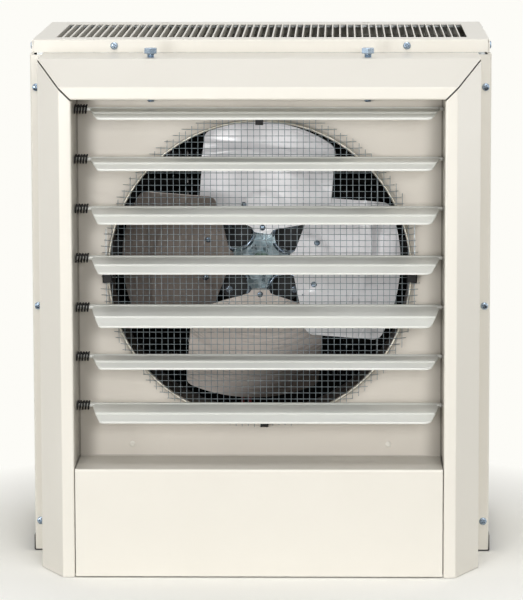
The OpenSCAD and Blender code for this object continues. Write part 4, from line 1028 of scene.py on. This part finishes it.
def smooth(a, b, x):
    """Rises gently from 0 at a to 1 at b."""
    t = min(1.0, max(0.0, (x - a) / (b - a)))
    return t * t * (3 - 2 * t)


def blade_relief(x, v):
    """How far the sheet stands forward: a seat round the rivets, an arched rib, a set back tip."""
    seat = SEAT_RISE * smooth(35, 29, math.hypot(x - 41, v))
    rib = math.exp(-((x - 113 + 0.0035 * (v - 20) ** 2) / 3.4) ** 2) * 2.6 * smooth(80, 66, abs(v))
    return seat + rib - 1.4 * smooth(116, 124, x) * smooth(84, 74, abs(v))


def on_fan(x, y, z):
    """A point of the fan in the place where it came to rest."""
    c, s = math.cos(FAN_TURN), math.sin(FAN_TURN)
    return at(x * c + z * s, FAN_Y + y, FAN_Z - x * s + z * c)


def on_blade(x, v, forward, turn):
    """A point of a blade: x out from the axis, v round it, forward of the sheet's face."""
    y = math.sqrt(CAMBER ** 2 - v ** 2) - CAMBER - forward
    y, v = y * math.cos(PITCH) + v * math.sin(PITCH), -y * math.sin(PITCH) + v * math.cos(PITCH)
    return on_fan(x * math.cos(turn) + v * math.sin(turn), y, -x * math.sin(turn) + v * math.cos(turn))


def fan_blades():
    """Four blades in three lit and shaded copies of one sheet: the top and the right one lit, the lower one
    half in painted shade, the left one in painted shade all over.
    """
    outline = rounded_outline(BLADE, BLADE_CORNERS)
    for name, material, places in (("clean", ALUMINIUM, (0, 3)), ("streaked", HALF_SHADED_ALUMINIUM, (1,)),
            ("dusty", SHADED_ALUMINIUM, (2,))):
        shape = bmesh.new()
        for k in places:
            blade(shape, outline, QUARTERS[k])
        piece(f"fan_blades_{name}", shape, material, "fan", ("fan_blades",), ease=0, sharp=50)


def blade(shape, outline, turn):
    """Adds one blade as two skins and their rim."""
    columns, rows = 56, 48
    lo, hi = min(p.x for p in outline) + 0.02, max(p.x for p in outline) - 0.02
    grids = []
    for forward in (BLADE_SHEET, 0.0):
        grid = []
        for i in range(columns + 1):
            x = lo + (hi - lo) * (0.5 - 0.5 * math.cos(math.pi * i / columns))
            low, high = span(outline, x)
            heights = [low + (high - low) * j / rows for j in range(rows + 1)]
            grid.append([shape.verts.new(on_blade(x, v, forward + blade_relief(x, v), turn))
                for v in heights])
        grids.append(grid)
    front, back = grids
    for i in range(columns):
        for j in range(rows):
            shape.faces.new((front[i][j], front[i + 1][j], front[i + 1][j + 1], front[i][j + 1]))
            shape.faces.new((back[i][j], back[i][j + 1], back[i + 1][j + 1], back[i + 1][j]))
    rim = [(i, 0) for i in range(columns)] + [(columns, j) for j in range(rows)] \
        + [(i, rows) for i in range(columns, 0, -1)] + [(0, j) for j in range(rows, 0, -1)]
    for (a, b), (c, d) in zip(rim, rim[1:] + rim[:1]):
        shape.faces.new((front[a][b], back[a][b], back[c][d], front[c][d]))


def on_spider(x, z, forward):
    """A point over the pressed star: flat in the middle, pitched like the blades further out."""
    turn = -round(math.atan2(z, x) / (math.pi / 2)) * math.pi / 2
    across = x * math.sin(turn) + z * math.cos(turn)
    v = across
    for _ in range(4):
        v = (across - v * v * math.sin(PITCH) / 2 / CAMBER) / math.cos(PITCH)
    sloped = (math.sqrt(CAMBER ** 2 - v ** 2) - CAMBER - forward) * math.cos(PITCH) + v * math.sin(PITCH)
    arm = smooth(24, 34, math.hypot(x, z))
    return on_fan(x, sloped * arm - forward * (1 - arm), z)


def spider_lips():
    """The rolled lips round the star's four hollows."""
    profile = [(16.0, -1.6), (16.0, 0.8), (16.4, 1.7), (17.3, 2.3), (18.4, 2.2), (19.3, 1.4), (19.9, 0.5),
        (20.6, -0.1), (20.6, -1.6)]
    shape = bmesh.new()
    for quarter in QUARTERS:
        middle = math.pi / 4 + quarter
        cx, cz = 40 * math.cos(middle), 40 * math.sin(middle)
        rows = []
        for i in range(73):
            a = middle + math.pi + math.radians(144) * (i / 36 - 1)
            rows.append([shape.verts.new(on_spider(cx + r * math.cos(a), cz + r * math.sin(a), f))
                for r, f in profile])
        join_rings(shape, rows)
        shape.faces.new(rows[0])
        shape.faces.new(rows[-1])
    piece("fan_spider_lips", shape, SCREW_ZINC, "fan", ease=0, sharp=50)


def blade_rivets():
    """Three rivets in each blade's root, domed in front and headed behind."""
    shape = bmesh.new()
    turned(shape, [(0, -6.8), (2.4, -6.8), (2.6, -6.4), (2.6, -5.65), (1.6, -5.6), (1.6, 0.06), (3.1, 0.06),
        (3.2, 0.35), (2.8, 0.95), (1.9, 1.3), (1.0, 1.4), (0, 1.4)], local, 22)
    head = solid("blade_rivet", shape)
    spots, ways = [], []
    face = BLADE_SHEET + SEAT_RISE
    for turn in QUARTERS:
        for x, v in ROOT_RIVETS:
            foot = on_blade(x, v, face, turn)
            spots.append(foot)
            ways.append((on_blade(x, v, face + 1, turn) - foot).normalized())
    grow("fan_rivets_domed", fastener_tree(), {"Shape": head, "Turn": 6.0, "Seed": 3}, SCREW_ZINC, "fan",
        ("fan_rivets",), start=points("rivets", spots, ways), sharp=50)
    bpy.data.objects.remove(head)


def boss():
    """The fan's turned boss, bored for the shaft, and its set screw."""
    shape = bmesh.new()
    turned(shape, [(6, -9), (9.4, -9), (10, -8.4), (10, 2), (13.4, 2), (14, 2.6), (14, 16.4), (13.4, 17),
        (6, 17)], about_y(0, FAN_Y, FAN_Z), 48, closed=True)
    # The socket set screw that holds the boss on the shaft.
    turned(shape, [(0, 12.9), (1.2, 12.9), (1.2, 14.2), (2.4, 14.2), (2.4, 12.0), (0, 12.0)],
        about_z(0, FAN_Y + 10, FAN_Z), 12)
    piece("fan_boss_turned", shape, BOSS_ZINC, "fan", ("fan_boss",), ease=0, sharp=30)


# ---------------------------------------------------------------- heating elements


def element_fins():
    """The fins on both legs of the three hairpin elements."""
    half, bend, mount, pitch, y = 168, 28, 50, 112, 328
    length = 2 * half - bend - mount
    spots = [at(bend / 2 - half, y, FAN_Z + i * pitch + s * bend) for i in (-1, 0, 1) for s in (-1, 1)]
    grow("element_fins_wound", fin_tree(), {"Turns": 44.0, "Radius": 9.2 * MM, "Length": length * MM,
        "Width": 7.2 * MM, "Thickness": 0.5 * MM}, FIN, nodes=("element_fins",),
        start=points("fins", spots), sharp=30)


# ---------------------------------------------------------------- putting it together

hood()
cabinet()
lid()
slats()
fasteners()
fan_ring()
clips()
for number in range(len(TILTS)):
    louver(number)
fan_blades()
eased_copy("fan_spider", SPIDER_ZINC, 0.4, body="fan")
spider_lips()
blade_rivets()
boss()
element_fins()
grow("wire_guard_net", net_tree(), {"Radius": (RING_R + 3.4) * MM, "Overhang": 8.0 * MM, "Lean": 5.5 * MM,
    "Pitch": 6.35 * MM, "Wire": 0.68 * MM, "Ragged": 4.0 * MM, "Shift": 1.2 * MM, "Seed": 7.0, "Count": 51},
    WIRE_ZINC, nodes=("wire_guard",))
grow("louver_springs_wound", coil_tree(), {"Turns": 4.5, "Radius": 4.2 * MM, "Length": 13.0 * MM,
    "Wire": 1.9 * MM, "Count": len(TILTS), "Spacing": -PIVOT_PITCH * MM}, BLACK_STEEL,
    nodes=("louver_springs",))

# The other parts keep the model's own shape. The last number eases their edges by so many mm.
for node, material, ease in (
        ("back_panel", BACK_PAINT, 0.3), ("front_frame", GALVANISED, 0.3), ("fan_panel", SHADED_WALL_PAINT, 0.3),
        ("hood_floor", PAINT, 0.3), ("control_divider", GALVANISED, 0.3), ("hanger_rail", GALVANISED, 0.5),
        ("motor_bracket", BLACK_LACQUER, 0.4), ("motor_front_bell", CAST_ALUMINIUM, 0.8),
        ("motor_rear_bell", CAST_ALUMINIUM, 0.8), ("motor_shell", BLACK_LACQUER, 0.3),
        ("stator_core", LAMINATION, 0.3), ("stator_windings", COPPER, 1.2), ("motor_bearings", BEARING, 0.4),
        ("motor_bolts", SCREW_ZINC, 0.3), ("motor_leads", LEAD, 0), ("heating_elements", SHEATH, 0),
        ("element_brackets", GALVANISED, 0.3), ("limit_thermostat", PHENOLIC, 0.5),
        ("contactor_base", PHENOLIC, 0.8), ("transformer_core", LAMINATION, 0.4),
        ("transformer_coil", TAPE, 1.5), ("fan_delay_relay", RELAY_CASE, 1.0),
        ("terminal_block", TERMINAL, 0.6), ("run_capacitor", CAN_ALUMINIUM, 1.5),
        ("capacitor_strap", GALVANISED, 0.2), ("ground_lug", BRASS, 0.4)):
    eased_copy(node, material, ease)
eased_copy("contactor_armature", CROSSBAR, 0.8, body="armature")
eased_copy("motor_rotor", BEARING, 0.4, body="fan")


# ---------------------------------------------------------------- studio

PAGE = "#fdfcf7"


def empty_material(name):
    """A material with no shader yet, and its node tree."""
    material = bpy.data.materials.new(name)
    material.use_nodes = True
    material.node_tree.nodes.clear()
    return material, material.node_tree


def screen(name, corners, material):
    """A flat face of the studio, which isn't part of the heater."""
    mesh = bpy.data.meshes.new(name)
    mesh.from_pydata(corners, [], [(0, 1, 2, 3)])
    mesh.materials.append(material)
    thing = stand(name, mesh)
    return thing


def page_seen(tree):
    """1 for the rays that show the white page: the camera's, and those off metal or through glass."""
    rays = add(tree, "ShaderNodeLightPath")
    mirrored = add(tree, "ShaderNodeMath", {0: rays.outputs["Is Glossy Ray"],
        1: rays.outputs["Is Transmission Ray"]}, operation="MAXIMUM")
    return add(tree, "ShaderNodeMath", {0: rays.outputs["Is Camera Ray"], 1: mirrored}, operation="MAXIMUM")


def backdrop():
    """Pale floor: it takes the object's shadow near it and runs into the white page further off."""
    material, tree = empty_material("pale_paper")
    place = add(tree, "ShaderNodeTexCoord").outputs["Object"]
    grain = add(tree, "ShaderNodeTexNoise", {"Vector": place, "Scale": per_mm(3), "Detail": 2.0})
    tone = add(tree, "ShaderNodeMix", {"Factor": grain.outputs["Fac"], 6: colour(PAGE),
        7: colour("#faf9f4")}, data_type="RGBA")
    matt = add(tree, "ShaderNodeBsdfDiffuse", {"Color": tone.outputs[2]})
    page = add(tree, "ShaderNodeEmission", {"Color": colour(PAGE)})
    far = add(tree, "ShaderNodeVectorMath", {0: place}, operation="LENGTH")
    fade = add(tree, "ShaderNodeMapRange", {"Value": far.outputs["Value"], "From Min": 0.26,
        "From Max": 0.5})
    share = add(tree, "ShaderNodeMath", {0: fade.outputs[0], 1: page_seen(tree)}, operation="MULTIPLY")
    mix = add(tree, "ShaderNodeMixShader", {0: share, 1: matt, 2: page})
    add(tree, "ShaderNodeOutputMaterial", {"Surface": mix})
    reach, below = 12.0, -0.0005
    screen("studio_floor", [(-reach, -reach, below), (reach, -reach, below), (reach, reach, below),
        (-reach, reach, below)], material)


def dark_card(name, corners, code):
    """A dark card that only polished metal sees, so that it has something dark to mirror."""
    material, tree = empty_material(name)
    glow = add(tree, "ShaderNodeEmission", {"Color": colour(code)})
    add(tree, "ShaderNodeOutputMaterial", {"Surface": glow})
    card = screen(name, corners, material)
    card.visible_camera = False
    card.visible_diffuse = False
    card.visible_shadow = False
    card.visible_transmission = False


def lamp(name, spot, aim, power, size):
    """A soft box of so many watts, its sides in metres."""
    data = bpy.data.lights.new(name, "AREA")
    data.shape = "RECTANGLE"
    data.size, data.size_y = size
    data.energy = power
    thing = stand(name, data)
    thing.location = spot
    thing.rotation_euler = (Vector(aim) - Vector(spot)).to_track_quat("-Z", "Y").to_euler()


def studio():
    """Floor, plain room light, two dark cards and seven soft lamps. Places are in metres."""
    backdrop()
    world = bpy.data.worlds.new("studio")
    bpy.context.scene.world = world
    world.use_nodes = True
    tree = world.node_tree
    tree.nodes.clear()
    room = add(tree, "ShaderNodeBackground", {"Color": colour("#f4f3f0"), "Strength": 0.17})
    page = add(tree, "ShaderNodeBackground", {"Color": colour(PAGE), "Strength": 1.0})
    mix = add(tree, "ShaderNodeMixShader", {0: page_seen(tree), 1: room, 2: page})
    add(tree, "ShaderNodeOutputWorld", {"Surface": mix})
    dark_card("card_behind_camera", [(-0.75, -2.9, 0.0), (0.95, -2.9, 0.0), (0.95, -2.9, 1.35),
        (-0.75, -2.9, 1.35)], "#14110f")
    dark_card("card_on_floor", [(-1.4, -2.88, 0.004), (1.4, -2.88, 0.004), (1.4, -0.4, 0.004),
        (-1.4, -0.4, 0.004)], "#4a423c")
    front = (0, -0.1, 0.3)
    lamp("overhead_front", (0, -1.55, 2.95), front, 43, (2.0, 1.3))
    lamp("front_high", (0.6, -3.6, 1.1), front, 35, (0.8, 0.6))
    lamp("front_left", (-0.9, -3.4, 0.55), front, 28, (0.7, 0.6))
    lamp("side_left", (-2.2, -2.2, 0.4), front, 9, (0.8, 0.8))
    lamp("rim_left", (-2.7, 1.1, 0.8), front, 8, (1.6, 1.6))
    lamp("rim_right", (2.7, 1.1, 0.8), front, 20, (1.6, 1.6))
    lamp("rear_top", (0, 1.8, 2.4), (0, 0, 0.4), 12, (2.0, 1.4))
    bpy.context.scene.view_settings.view_transform = "Standard"


def camera():
    """The photo's view: 3.6 m in front of the hood, a little above and to the right, looking down."""
    yaw, pitch, roll = math.radians(1.24), math.radians(8.36), math.radians(-0.136)
    forward = Vector((-math.sin(yaw) * math.cos(pitch), math.cos(yaw) * math.cos(pitch), -math.sin(pitch)))
    right = Vector((math.cos(yaw), math.sin(yaw), 0))
    up = right.cross(forward)
    x = right * math.cos(roll) + up * math.sin(roll)
    y = up * math.cos(roll) - right * math.sin(roll)
    data = bpy.data.cameras.new("photo_camera")
    data.lens, data.sensor_width = 216, 36
    data.clip_start, data.clip_end = 0.1, 60
    thing = stand("photo_camera", data)
    turn = Matrix((x, y, -forward)).transposed().to_4x4()
    thing.matrix_world = Matrix.Translation((0.0813, -3.6064 + FRONT, 0.8174)) @ turn
    bpy.context.scene.camera = thing


studio()
camera()
